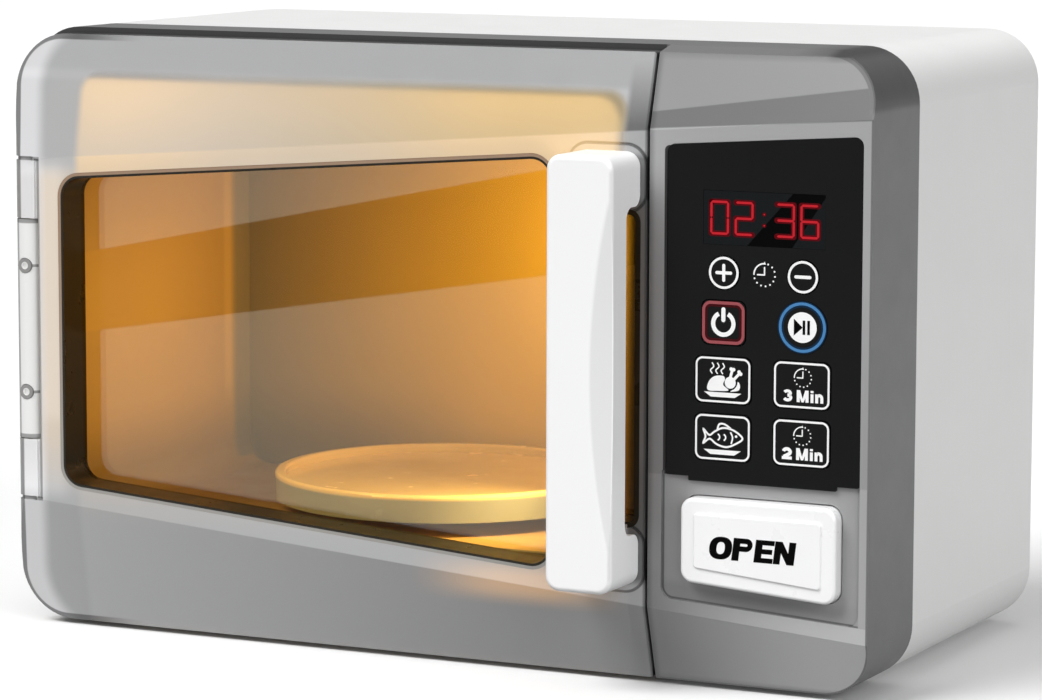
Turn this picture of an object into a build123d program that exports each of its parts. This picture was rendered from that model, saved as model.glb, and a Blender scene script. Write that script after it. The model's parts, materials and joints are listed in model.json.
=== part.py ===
from build123d import *
import os
from math import acos, atan2, cos, pi, radians, sin, tan

# A toy microwave oven. Sizes in mm: X to the right, Y to the back, Z up.
# The origin is on the floor, in the middle of the whole oven.

# Case
door_width = 196.75
door_seam = 0.8
panel_width = 62.45
case_height = 168.6
body_depth = 130.0
corner_radius = 15.0
case_wall = 2.4
bezel_depth = 33.2
back_round = 3.0
tongue_length = 3.0
tongue_wall = 1.2
tongue_gap = 0.15

# The flat of the front is taller at the panel than at the hinge, and facets slope back from it
facet_drop = 6.0
flat_half_left = 47.9
flat_half_right = 68.3

# Feet
foot_height = 1.5
foot_recess = 1.0
foot_radius = 6.0
foot_inset_x = 24.0
front_foot_set_back = 24.0
rear_foot_set_back = 14.0

# Door
door_depth = 12.5
door_gap = 0.5
door_top_step = 1.6
door_wall = 2.2
seam_corner_radius = 0.8
window_left = 15.3
window_right = 1.75
window_border = 4.6
window_corner = 7.0
window_depth = 9.8
frame_wall = 1.6
frame_flange = 3.4
flange_thickness = 1.4
pane_thickness = 1.5
pane_seat = 0.4

# Handle
handle_reach = 18.0
grip_width = 19.2
grip_height = 115.4
grip_thickness = 9.0
grip_inset = 1.75
grip_round = 4.0
foot_length = 14.2
handle_edge = 1.4
scoop_width = 6.8
scoop_depth = 1.3
scoop_half_length = 52.0
plinth_border = 1.9
plinth_height = 0.5
notch_border = 5.6
notch_clearance = 1.0
handle_screw_length = 13.0

# Door hinge
hinge_radius = 4.1
hinge_block_half = 31.5
knuckle_half = 48.4
knuckle_gap = 0.35
knuckle_groove = 0.5
groove_width = 1.2
hinge_pin_radius = 1.5
hinge_pin_start = 21.5
hinge_pin_length = 26.0
hinge_bore_gap = 0.05
hinge_screw_half = 18.0

# Screws
screw_radius = 1.5
screw_head_radius = 2.8
screw_head_height = 2.0
pilot_gap = 0.05
drive_slot = 0.7

# Oven cavity
cavity_left = 10.0
cavity_right = 8.25
cavity_floor = 31.0
cavity_top = 155.0
cavity_depth = 102.5
cavity_corner = 8.0
liner_wall = 1.6
liner_flange = 2.6
liner_flange_right = 1.4

# Control panel
panel_wall = 2.6
pocket_depth = 1.0
fascia_left = 5.2
fascia_right = 2.7
fascia_bottom = 57.8
fascia_top_left = 144.9
fascia_top_right = 148.7
fascia_corner = 2.2
fascia_gap = 0.15
fascia_tab_inset = 6.4
fascia_tab = 1.2
surround_left = 3.9
surround_bottom_left = 24.7
surround_bottom_right = 21.2

# Display and keys
display_width = 34.2
display_height = 14.2
display_drop = 18.5
module_border = 0.5
key_half_pitch = 11.1
key_row_drops = (14.4, 27.5, 42.6, 57.8)
round_key_radius = 4.3
start_key_radius = 6.7
power_key_size = (12.2, 11.4)
box_key_size = (15.8, 12.2)
key_corner = 1.8
key_gap = 0.3
key_proud = 0.25
key_travel = 0.8
key_flange = 0.9
key_flange_thickness = 0.8
key_stem_radius = 2.0
key_stem_length = 0.8
dome_radius = 2.6
dome_height = 0.8
mat_thickness = 1.6
board_thickness = 1.6
board_set_back = 8.0
board_inset = 3.0
chip_size = 16.0
chip_thickness = 2.0
chip_drop = 45.0
boss_radius = 2.6
board_screw_radius = 1.1

# OPEN button and latch
button_left = 10.65
button_right = 7.9
button_top = 52.5
button_bottom_left = 30.0
button_bottom_right = 26.8
button_corner = 3.5
button_proud = 3.0
button_pad = 0.5
button_pad_inset = 4.0
button_edge = 1.0
button_gap = 0.4
button_flange = 1.2
flange_gap = 0.3
button_travel = 3.0
stem_width = 12.0
stem_level = 41.0
stem_height = 8.0
stem_clearance = 6.5
ramp_gap = 0.1
latch_level = 17.0
latch_height = 6.0
latch_thickness = 3.0
latch_set_back = 18.0
latch_clearance = 1.0
catch_thickness = 2.2
catch_height = 8.0
catch_plate_width = 10.0
barb_reach = 1.4
barb_length = 3.0
guide_width = 4.0
guide_gap = 0.3
guide_wall = 2.0
spring_wire = 0.35
latch_spring_radius = 2.2
open_spring_radius = 3.2

# Turntable and its drive
turntable_shift = 5.25
plate_radius = 49.0
plate_height = 7.7
plate_bottom = 35.3
plate_lip = 3.0
plate_dish = 2.4
plate_skin = 2.0
hub_socket_radius = 9.0
collar_radius = 6.0
collar_gap = 0.4
hex_across = 8.0
hex_height = 5.0
hex_gap = 0.15
gear_module = 0.8
pressure_angle = 25.0
tooth_height = 0.9
tooth_root = 1.15
tooth_thinning = 0.1
hub_teeth = 40
idler_teeth = 36
pinion_teeth = 10
gear_width = 3.0
gear_space = 0.4
post_radius = 2.0
running_gap = 0.05
motor_radius = 12.2
motor_height = 12.3
motor_shaft_radius = 1.0
gearbox_wall = 1.6
gearbox_plate = 2.0
gearbox_margin = 4.0

# Lamp and speaker
lamp_radius = 9.0
lamp_level = 118.0
lamp_set_back = 44.0
lamp_flange = 2.0
speaker_radius = 17.0
speaker_depth = 6.0
speaker_level = 112.0
slot_width = 2.4
slot_pitch = 5.6
speaker_slot_count = 5
vent_count = 11
vent_height = 60.0

# Battery bay
cell_radius = 7.1
cell_length = 49.2
cell_pitch = 15.6
cell_count = 3
contact_space = 5.0
contact_thickness = 0.5
bay_wall = 1.5
bay_level = 41.5
cover_border = 2.0
cover_thickness = 1.2
cover_gap = 0.3

# Long screws of the case
case_screw_inset = 11.5
case_screw_level_low = 10.0
case_screw_drop = 7.9
column_radius = 4.5
case_screw_length = 14.0
column_reach = 14.0
column_floor = 3.0

# Places worked out from the sizes above
body_width = door_width + door_seam + panel_width
x_left = -body_width / 2
x_right = body_width / 2
x_door = x_left + door_width
x_panel = x_door + door_seam
y_back = (body_depth + handle_reach) / 2
y_front = y_back - body_depth
y_edge = y_front + facet_drop
y_door_back = y_front + door_depth
y_ring = y_door_back + door_gap
y_seam = y_front + bezel_depth
y_inside = y_ring + case_wall
z_bottom = foot_height
z_top = z_bottom + case_height
z_door_top = z_top - door_top_step
z_middle = (z_bottom + z_door_top) / 2
y_panel_inside = y_front + panel_wall
beyond = 10.0

cavity_x0 = x_left + cavity_left
cavity_x1 = x_door - cavity_right
hinge_x = x_left + hinge_radius
hinge_y = y_front + hinge_radius
door_inside_x = hinge_x + hinge_radius + knuckle_gap + door_wall
grip_x1 = x_door - grip_inset
grip_x0 = grip_x1 - grip_width
grip_x = (grip_x0 + grip_x1) / 2
y_grip_front = y_front - handle_reach
y_grip_back = y_grip_front + grip_thickness
foot_z = grip_height / 2 - foot_length / 2
y_pane = y_front + window_depth
panel_x = x_panel + panel_width / 2 + (fascia_left - fascia_right) / 2
y_board = y_front + board_set_back
y_latch = y_front + latch_set_back
turntable_x = (cavity_x0 + cavity_x1) / 2 + turntable_shift
turntable_y = y_inside + cavity_depth / 2 - liner_wall
key_columns = (panel_x - key_half_pitch, panel_x + key_half_pitch)
display_level = fascia_top_left - display_drop
key_rows = [display_level - drop for drop in key_row_drops]


# Plain shapes

def slab(face, y0, y1):
    # A face drawn in X and Z, made solid from y0 to y1
    plane = Plane(origin=(0, y1, 0), x_dir=(1, 0, 0), z_dir=(0, -1, 0))
    return plane * extrude(face, y1 - y0)


def block(x0, x1, y0, y1, z0, z1):
    size = Box(x1 - x0, y1 - y0, z1 - z0)
    return Pos((x0 + x1) / 2, (y0 + y1) / 2, (z0 + z1) / 2) * size


def outline(points, radii):
    return make_face(FilletPolyline(*points, radius=radii, close=True))


def rounded(x0, x1, z0, z1, radius):
    return outline([(x0, z0), (x0, z1), (x1, z1), (x1, z0)], [radius] * 4)


def rod_y(x, z, radius, y0, y1):
    return slab(Pos(x, z) * Circle(radius), y0, y1)


def rod_z(x, y, radius, z0, z1):
    return Pos(x, y, z0) * extrude(Circle(radius), z1 - z0)


def rod_x(y, z, radius, x0, x1):
    plane = Plane(origin=(x0, y, z), x_dir=(0, 1, 0), z_dir=(1, 0, 0))
    return plane * extrude(Circle(radius), x1 - x0)


def screw_y(x, z, radius, head_radius, y_head, length):
    # A pan-head screw that is driven towards -Y, with a cross recess
    head = rod_y(x, z, head_radius, y_head, y_head + screw_head_height)
    head = fillet(head.faces().sort_by(Axis.Y)[-1].edges(), head_radius * 0.3)
    shank = rod_y(x, z, radius, y_head - length, y_head)
    top = y_head + screw_head_height
    wide = head_radius * 1.1
    recess = block(x - wide / 2, x + wide / 2, top - 1, top + 1, z - drive_slot / 2, z + drive_slot / 2)
    recess += block(x - drive_slot / 2, x + drive_slot / 2, top - 1, top + 1, z - wide / 2, z + wide / 2)
    return head + shank - recess


def coil(radius, length, turns, wire):
    # A helical spring along +Z with its first turn at the origin
    path = Helix(pitch=(length - 2 * wire) / turns, height=length - 2 * wire, radius=radius)
    section = Plane(origin=path @ 0, z_dir=path % 0) * Circle(wire)
    return Pos(0, 0, wire) * sweep(section, path=path, is_frenet=True)


def flat_half(x):
    share = (x - x_left) / body_width
    return flat_half_left + (flat_half_right - flat_half_left) * share


def facets(shift=0.0):
    # What the two sloping facets remove from a block, or from a hollow when shifted back
    cutters = []
    for side in (1, -1):
        z_edge = z_door_top if side > 0 else z_bottom
        z_step = z_top if side > 0 else z_bottom - door_top_step
        sections = []
        for x in (x_left - beyond, x_right + beyond):
            crease = z_middle + side * flat_half(x)
            far = z_edge + side * 2 * beyond
            corners = [
                (x, y_front + shift, crease),
                (x, y_edge + shift, z_edge),
                (x, y_ring + shift, z_step),
                (x, y_ring + shift, far),
                (x, y_front - beyond, far),
                (x, y_front - beyond, crease),
            ]
            sections.append(Face(Wire.make_polygon([Vector(*c) for c in corners], close=True)))
        cutters.append(loft(sections, ruled=True))
    return cutters[0] + cutters[1]


def window_outline(grow=0.0):
    # The window follows the creases and steps in round the feet of the handle
    left = x_left + window_left - grow
    right = x_door - window_right
    notch_x = grip_x0 - notch_border
    notch = z_middle + foot_z - foot_length / 2 - notch_clearance
    low = 2 * z_middle - notch
    half_left = flat_half(left) - window_border + grow
    half_notch = flat_half(notch_x) - window_border + grow
    points = [
        (left, z_middle - half_left), (left, z_middle + half_left),
        (notch_x, z_middle + half_notch), (notch_x, notch), (right, notch),
        (right, low), (notch_x, low), (notch_x, z_middle - half_notch),
    ]
    soft = window_corner / 2
    radii = [window_corner, window_corner, window_corner, soft, soft, soft, soft, window_corner]
    return outline(points, radii)


# Case

def case_outline(inset=0.0):
    return rounded(x_left + inset, x_right - inset, z_bottom + inset, z_top - inset, corner_radius - inset)


def foot_places():
    for x in (x_left + foot_inset_x, x_right - foot_inset_x):
        yield x, y_front + front_foot_set_back
        yield x, y_back - rear_foot_set_back


def rubber_feet():
    feet = [rod_z(x, y, foot_radius, 0, z_bottom + foot_recess) for x, y in foot_places()]
    return [chamfer(f.faces().sort_by(Axis.Z)[0].edges(), foot_height / 3) for f in feet]


def foot_sockets():
    sockets = [rod_z(x, y, foot_radius, z_bottom - 1, z_bottom + foot_recess) for x, y in foot_places()]
    return sockets[0] + sockets[1:]


def case_screw_places():
    for x in (x_left + case_screw_inset, x_right - case_screw_inset):
        yield x, case_screw_level_low
        yield x, z_top - case_screw_drop


def slots(x, z, count, length):
    # A row of upright slots through the back wall, shorter towards the ends of the row
    cutters = []
    for i in range(count):
        across = (i - (count - 1) / 2) * slot_pitch
        height = length * (1 - (across / (count * slot_pitch)) ** 2 * 2)
        face = Pos(x + across, z) * RectangleRounded(slot_width, height, slot_width / 2 - 0.01)
        cutters.append(slab(face, y_back - 2 * case_wall, y_back + 1))
    return cutters


def rear_housing():
    shell = slab(case_outline(), y_seam, y_back)
    shell = fillet(shell.faces().sort_by(Axis.Y)[-1].edges(), back_round)
    shell -= slab(case_outline(case_wall), y_seam - 1, y_back - case_wall)
    y_end = y_seam + column_reach
    for x, z in case_screw_places():
        shell += rod_y(x, z, column_radius, y_end, y_back - case_wall)
        shell -= rod_y(x, z, screw_head_radius + 0.4, y_end + column_floor, y_back + 1)
        shell -= rod_y(x, z, screw_radius + 0.2, y_end - 1, y_end + column_floor)
    shell -= foot_sockets()
    shell -= slots(speaker_x(), speaker_level, speaker_slot_count, 1.5 * speaker_radius)
    shell -= slots((cavity_x0 + cavity_x1) / 2, z_middle, vent_count, vent_height)
    cover = cover_face(cover_gap)
    shell -= slab(cover, y_back - cover_thickness, y_back + 1)
    shell -= slab(bay_opening(), y_back - 2 * case_wall, y_back + 1)
    x, z = battery_screw_place()
    shell += rod_y(x, z, boss_radius, y_back - 4 * case_wall, y_back - cover_thickness)
    shell -= rod_y(x, z, board_screw_radius, y_back - 3 * case_wall, y_back)
    return shell


def case_screws():
    y_head = y_seam + column_reach + column_floor
    return [
        screw_y(x, z, screw_radius, screw_head_radius, y_head, case_screw_length)
        for x, z in case_screw_places()
    ]


def speaker_x():
    return (x_panel + x_right) / 2


def speaker():
    y1 = y_back - case_wall
    basket = rod_y(speaker_x(), speaker_level, speaker_radius, y1 - 1.5, y1)
    basket += rod_y(speaker_x(), speaker_level, speaker_radius * 0.8, y1 - speaker_depth * 0.6, y1 - 1.5)
    basket += rod_y(speaker_x(), speaker_level, speaker_radius * 0.45, y1 - speaker_depth, y1 - 2)
    return basket


# Front bezel: a ring behind the door, and the panel section beside it

def fascia_outline(grow=0.0):
    x0 = x_panel + fascia_left - grow
    x1 = x_right - fascia_right + grow
    points = [
        (x0, fascia_bottom - grow), (x0, fascia_top_left + grow),
        (x1, fascia_top_right + grow), (x1, fascia_bottom - grow),
    ]
    return outline(points, [0.5, fascia_corner + grow, fascia_corner + grow, 0.5])


def fascia_tab_face():
    x0 = x_panel + fascia_left + fascia_tab_inset
    x1 = x_right - fascia_right - fascia_tab_inset
    return rounded(x0, x1, fascia_bottom - fascia_tab, fascia_bottom + 2, 0.3)


def surround_outline():
    x0 = x_panel + surround_left
    x1 = x_right - fascia_right + fascia_gap
    points = [(x0, surround_bottom_left), (x0, fascia_bottom + 1), (x1, fascia_bottom + 1),
              (x1, surround_bottom_right)]
    return outline(points, [3, 0.3, 0.3, 3])


def button_outline(grow=0.0):
    x0 = x_panel + button_left - grow
    x1 = x_right - button_right + grow
    points = [(x0, button_bottom_left - grow), (x0, button_top + grow), (x1, button_top + grow),
              (x1, button_bottom_right - grow)]
    return outline(points, [max(button_corner + grow, 1)] * 4)


def display_face(grow=0.0):
    return Pos(panel_x, display_level) * Rectangle(display_width + 2 * grow, display_height + 2 * grow)


def board_span():
    x0 = x_panel + fascia_left + board_inset - 2
    x1 = x_right - fascia_right - board_inset + 2
    return x0, x1, fascia_bottom + board_inset, fascia_top_left - 1


def board_screw_places():
    x0, x1, z0, z1 = board_span()
    for x in (x0 + board_inset, x1 - board_inset):
        for z in (z0 + board_inset, z1 - board_inset):
            yield x, z


def latch_z():
    return latch_level - latch_height / 2, latch_level + latch_height / 2


def stem_span():
    middle = (x_panel + button_left + x_right - button_right) / 2
    return middle - stem_width / 2, middle + stem_width / 2


def latch_end_x():
    # Right end of the latch slide
    return stem_span()[1] + stem_clearance


def front_bezel():
    bezel = slab(case_outline(), y_front, y_seam)
    bezel -= facets()
    bezel -= block(x_left - 1, x_panel, y_front - 1, y_ring, z_bottom - 1, z_top + 1)
    hollow = slab(case_outline(case_wall), y_inside, y_seam + 1)
    z0, z1 = z_bottom + case_wall, z_top - case_wall
    section = block(x_panel + panel_wall, x_right - panel_wall, y_panel_inside, y_inside, z0, z1)
    section &= slab(case_outline(case_wall), y_front, y_seam)
    bezel -= hollow + (section - facets(panel_wall))
    # Way into the cavity
    bezel -= slab(rounded(cavity_x0, cavity_x1, cavity_floor, cavity_top, cavity_corner), y_ring - 1, y_inside)
    # Tongue that centres the rear housing
    tongue = case_outline(case_wall + tongue_gap) - case_outline(case_wall + tongue_gap + tongue_wall)
    bezel += slab(tongue, y_seam - 1, y_seam + tongue_length)
    rib = case_outline(case_wall - 0.2) - case_outline(case_wall + tongue_gap + tongue_wall)
    bezel += slab(rib, y_seam - 3, y_seam)
    # Posts for the screws of the case
    for x, z in case_screw_places():
        y0 = y_inside - 1 if x < x_panel else y_edge + 1
        bezel += rod_y(x, z, column_radius - 0.5, y0, y_seam + column_reach)
    # Pads behind the screws of the hinge block
    for z in (z_middle - hinge_screw_half, z_middle + hinge_screw_half):
        bezel += rod_y(hinge_x, z, boss_radius, y_ring + 1, y_inside + 5)
        bezel += block(x_left + 1, hinge_x, y_ring + 1, y_inside + 5, z - boss_radius, z + boss_radius)
    for x, z in board_screw_places():
        bezel += rod_y(x, z, boss_radius, y_panel_inside - 0.5, y_board)
    bezel += latch_guides()
    bezel -= facets()
    for x, z in case_screw_places():
        y1 = y_seam + column_reach
        bezel -= rod_y(x, z, screw_radius, y1 - case_screw_length, y1 + 1)
    for z in (z_middle - hinge_screw_half, z_middle + hinge_screw_half):
        bezel -= rod_y(hinge_x, z, screw_radius, y_ring - 1, y_inside + 4)
    for x, z in board_screw_places():
        bezel -= rod_y(x, z, board_screw_radius, y_panel_inside, y_board + 1)
    # Pockets and holes of the panel
    y_pocket = y_front + pocket_depth
    bezel -= slab(fascia_outline(fascia_gap), y_front - 1, y_pocket)
    bezel -= slab(surround_outline(), y_front - 1, y_pocket)
    bezel -= slab(button_outline(button_gap), y_front - 1, y_panel_inside + 1)
    bezel -= slab(display_face(), y_front - 1, y_panel_inside + 1)
    for face in key_faces(key_gap).values():
        bezel -= slab(face, y_front - 1, y_panel_inside + 1)
    # Slot for the door's catch
    x0, x1, z_low, z_high = catch_span()
    bezel -= block(x0 - 1.2, x1 + barb_reach + 1.5, y_ring - 1, y_inside + 1, z_low - 1, z_high + 1)
    bezel -= foot_sockets()
    return bezel


def latch_guides():
    # Two guides that the latch slide runs through, and a stop for its spring
    z0, z1 = latch_z()
    y0, y1 = y_latch - guide_gap, y_latch + latch_thickness + guide_gap
    guides = []
    x_first = x_panel + panel_wall + 4
    x_second = stem_span()[0] - 2 * guide_width - 3
    for x in (x_first, x_second):
        outer = block(x, x + guide_width, y_panel_inside - 0.5, y1 + guide_wall,
                      z0 - guide_wall, z1 + guide_wall)
        guides.append(outer - block(x - 1, x + guide_width + 1, y0, y1, z0 - guide_gap, z1 + guide_gap))
    x = spring_stop_x()
    guides.append(block(x, x + guide_wall, y_panel_inside - 0.5, y1 + 1, z0, z1))
    seat_x = open_spring_x()
    y_seat = open_spring_y() + open_spring_length()
    z = stem_level
    reach = open_spring_radius + 1.5
    arm = block(seat_x - reach, seat_x + reach, y_seat, y_seat + guide_wall, z - reach, z + reach)
    leg_x = x_panel + panel_wall - 0.5
    arm += block(leg_x, seat_x, y_seat, y_seat + guide_wall, z - reach, z + reach)
    guides.append(arm)
    return guides


def spring_stop_x():
    return latch_end_x() + button_travel + 7


def control_fascia():
    fascia = slab(fascia_outline(), y_front, y_front + pocket_depth)
    fascia += slab(fascia_tab_face(), y_front, y_front + pocket_depth)
    fascia -= slab(display_face(), y_front - 1, y_front + 2)
    for face in key_faces(key_gap).values():
        fascia -= slab(face, y_front - 1, y_front + 2)
    return fascia


def display_lens():
    return slab(display_face(-0.05), y_front + 0.1, y_front + pocket_depth)


def display_module():
    y0 = y_front + pocket_depth + 0.2
    return slab(display_face(-module_border), y0, y_board)


def control_board():
    x0, x1, z0, z1 = board_span()
    board = block(x0, x1, y_board, y_board + board_thickness, z0, z1)
    z_chip = display_level - chip_drop
    chip = block(panel_x - chip_size / 2, panel_x + chip_size / 2, y_board + board_thickness,
                 y_board + board_thickness + chip_thickness, z_chip, z_chip + chip_size)
    board += chip
    for x, z in board_screw_places():
        board -= rod_y(x, z, board_screw_radius + 0.2, y_board - 1, y_board + board_thickness + 1)
    return board


def board_screws():
    y_head = y_board + board_thickness
    return [screw_y(x, z, board_screw_radius, 2.2, y_head, 5) for x, z in board_screw_places()]


def keypad_mat():
    face = Rectangle(2 * key_half_pitch + box_key_size[0], key_rows[0] - key_rows[3] + 10)
    middle = (key_rows[0] + key_rows[3]) / 2
    mat = slab(Pos(panel_x, middle) * face, y_board - mat_thickness, y_board)
    for x, z in key_places().values():
        y0 = y_board - mat_thickness
        mat += rod_y(x, z, dome_radius, y0 - dome_height, y0)
    return mat


def key_places():
    left, right = key_columns
    return {
        "plus_key": (left, key_rows[0]),
        "minus_key": (right, key_rows[0]),
        "power_key": (left, key_rows[1]),
        "start_key": (right, key_rows[1]),
        "roast_key": (left, key_rows[2]),
        "three_minute_key": (right, key_rows[2]),
        "fish_key": (left, key_rows[3]),
        "two_minute_key": (right, key_rows[3]),
    }


def key_faces(grow=0.0):
    faces = {}
    for name, (x, z) in key_places().items():
        if name in ("plus_key", "minus_key"):
            face = Circle(round_key_radius + grow)
        elif name == "start_key":
            face = Circle(start_key_radius + grow)
        else:
            wide, high = power_key_size if name == "power_key" else box_key_size
            face = RectangleRounded(wide + 2 * grow, high + 2 * grow, key_corner + grow)
        faces[name] = Pos(x, z) * face
    return faces


def keys():
    made = {}
    y_flange = y_panel_inside + flange_gap
    bases = key_faces(key_flange)
    for name, face in key_faces().items():
        x, z = key_places()[name]
        key = slab(face, y_front - key_proud, y_flange)
        key = fillet(key.faces().sort_by(Axis.Y)[0].edges(), key_proud * 0.8)
        key += slab(bases[name], y_flange, y_flange + key_flange_thickness)
        y_stem = y_flange + key_flange_thickness
        key += rod_y(x, z, key_stem_radius, y_stem, y_stem + key_stem_length)
        made[name] = key
    return made


# OPEN button, its spring and the latch

def open_button():
    y_face = y_front - button_proud
    button = slab(button_outline(), y_face, y_panel_inside + flange_gap)
    button = fillet(button.faces().sort_by(Axis.Y)[0].edges(), button_edge)
    pad = slab(button_outline(-button_pad_inset), y_face - button_pad, y_face + 1)
    button += fillet(pad.faces().sort_by(Axis.Y)[0].edges(), button_pad * 0.8)
    y_flange = y_panel_inside + flange_gap
    button += slab(button_outline(button_flange), y_flange, y_flange + 1.2)
    # Stem with a ramp at 45 degrees that drives the latch slide to the right
    x0, x1 = stem_span()
    y0 = y_flange + 1
    y1 = ramp_y()
    points = [(x0, y0), (x1, y0), (x1, y1), (x0, y1 + stem_width)]
    face = make_face(Polyline(*points, close=True))
    button += Pos(0, 0, stem_level - stem_height / 2) * extrude(face, stem_height)
    return button


def ramp_y():
    # Where the ramp starts on the right side of the stem
    return y_latch - stem_width / 2


def open_spring_x():
    return stem_span()[0] - open_spring_radius - 4


def open_spring_y():
    return y_panel_inside + flange_gap + 1.2 + button_travel + 0.3


def open_spring_length():
    return 6.0


def open_spring():
    spring = coil(open_spring_radius, open_spring_length(), 5, spring_wire)
    place = Plane(origin=(open_spring_x(), open_spring_y(), stem_level), z_dir=(0, 1, 0))
    return place * spring


def latch_slide():
    z0, z1 = latch_z()
    y0, y1 = y_latch, y_latch + latch_thickness
    x0 = catch_span()[1] + barb_reach + latch_clearance
    stem_x1 = stem_span()[1]
    x_end = latch_end_x()
    slide = block(x0, x_end, y0, y1, z0, z1)
    # The ramp face lies a small gap away from the stem's
    gap = ramp_gap * 2 ** 0.5
    y_start = ramp_y() + 1
    y_stop = ramp_y() + stem_width - 2
    points = [
        (stem_x1 - (y_start - ramp_y()) + gap, y_start), (x_end, y_start), (x_end, y_stop),
        (stem_x1 - (y_stop - ramp_y()) + gap, y_stop),
    ]
    face = make_face(Polyline(*points, close=True))
    z_high = stem_level + stem_height / 2
    slide += Pos(0, 0, z0) * extrude(face, z_high - z0)
    return slide


def latch_spring():
    x0 = latch_end_x() + button_travel + 0.3
    spring = coil(latch_spring_radius, spring_stop_x() - x0, 5, spring_wire)
    place = Plane(origin=(x0, y_latch + latch_thickness / 2, latch_level), z_dir=(1, 0, 0))
    return place * spring


def catch_span():
    x1 = x_door - door_wall
    return x1 - catch_thickness, x1, latch_level - catch_height / 2, latch_level + catch_height / 2


def door_catch():
    x0, x1, z0, z1 = catch_span()
    y0 = catch_plate_y()
    catch = block(x1 - catch_plate_width, x1, y0, y0 + catch_thickness, z0 - 2, z1 + 2)
    y_tip = y_latch + latch_thickness + barb_length + 0.5
    catch += block(x0, x1, y0, y_tip, z0, z1)
    catch += block(x1 - 0.5, x1 + barb_reach, y_tip - barb_length, y_tip, z0, z1)
    x = catch_screw_x()
    return catch - rod_y(x, latch_level, board_screw_radius + 0.2, y0 - 1, y0 + catch_thickness + 1)


def catch_plate_y():
    # The head of the catch's screw ends level with the back of the door
    return y_door_back - screw_head_height - catch_thickness


def catch_screw_x():
    return catch_span()[1] - catch_plate_width + 3.0


def catch_screw():
    y_head = catch_plate_y() + catch_thickness
    return screw_y(catch_screw_x(), latch_level, board_screw_radius, 2.2, y_head, 6)


# Cavity liner and lamp

def cavity_liner():
    y0, y1 = y_inside, y_inside + cavity_depth
    inner = rounded(cavity_x0, cavity_x1, cavity_floor, cavity_top, cavity_corner)
    outer = rounded(cavity_x0 - liner_wall, cavity_x1 + liner_wall, cavity_floor - liner_wall,
                    cavity_top + liner_wall, cavity_corner + liner_wall)
    flange = rounded(cavity_x0 - liner_flange, cavity_x1 + liner_wall + liner_flange_right,
                     cavity_floor - liner_flange, cavity_top + liner_flange, cavity_corner)
    liner = slab(outer, y0, y1 + liner_wall) + slab(flange, y0, y0 + liner_wall)
    liner -= slab(inner, y0 - 1, y1)
    liner -= rod_z(turntable_x, turntable_y, collar_radius + collar_gap, cavity_floor - 5, cavity_floor + 1)
    y_lamp = y_front + lamp_set_back
    liner -= rod_x(y_lamp, lamp_level, lamp_radius, cavity_x1 - 1, cavity_x1 + liner_wall + 1)
    return liner


def lamp_lens():
    y, x = y_front + lamp_set_back, cavity_x1
    lens = rod_x(y, lamp_level, lamp_radius - 0.05, x - 0.8, x + liner_wall)
    lens = fillet(lens.faces().sort_by(Axis.X)[0].edges(), 0.6)
    return lens + rod_x(y, lamp_level, lamp_radius + lamp_flange, x + liner_wall, x + liner_wall + 1)


def lamp_housing():
    y, x = y_front + lamp_set_back, cavity_x1 + liner_wall + 1
    cup = rod_x(y, lamp_level, lamp_radius + lamp_flange, x, x + 8)
    return cup - rod_x(y, lamp_level, lamp_radius, x - 1, x + 6)


def lamp_led():
    y, x = y_front + lamp_set_back, cavity_x1 + liner_wall + 1 + 6
    dome = rod_x(y, lamp_level, 2.5, x - 4, x - 1)
    dome = fillet(dome.faces().sort_by(Axis.X)[0].edges(), 2.2)
    return dome + rod_x(y, lamp_level, lamp_radius - 1, x - 1, x)


# Door

def door_outline():
    points = [(x_left, z_bottom), (x_left, z_door_top), (x_door, z_door_top), (x_door, z_bottom)]
    return outline(points, [corner_radius, corner_radius, seam_corner_radius, seam_corner_radius])


def hinge_levels():
    return z_middle - hinge_block_half, z_middle + hinge_block_half


def foot_levels():
    return z_middle - foot_z, z_middle + foot_z


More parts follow.
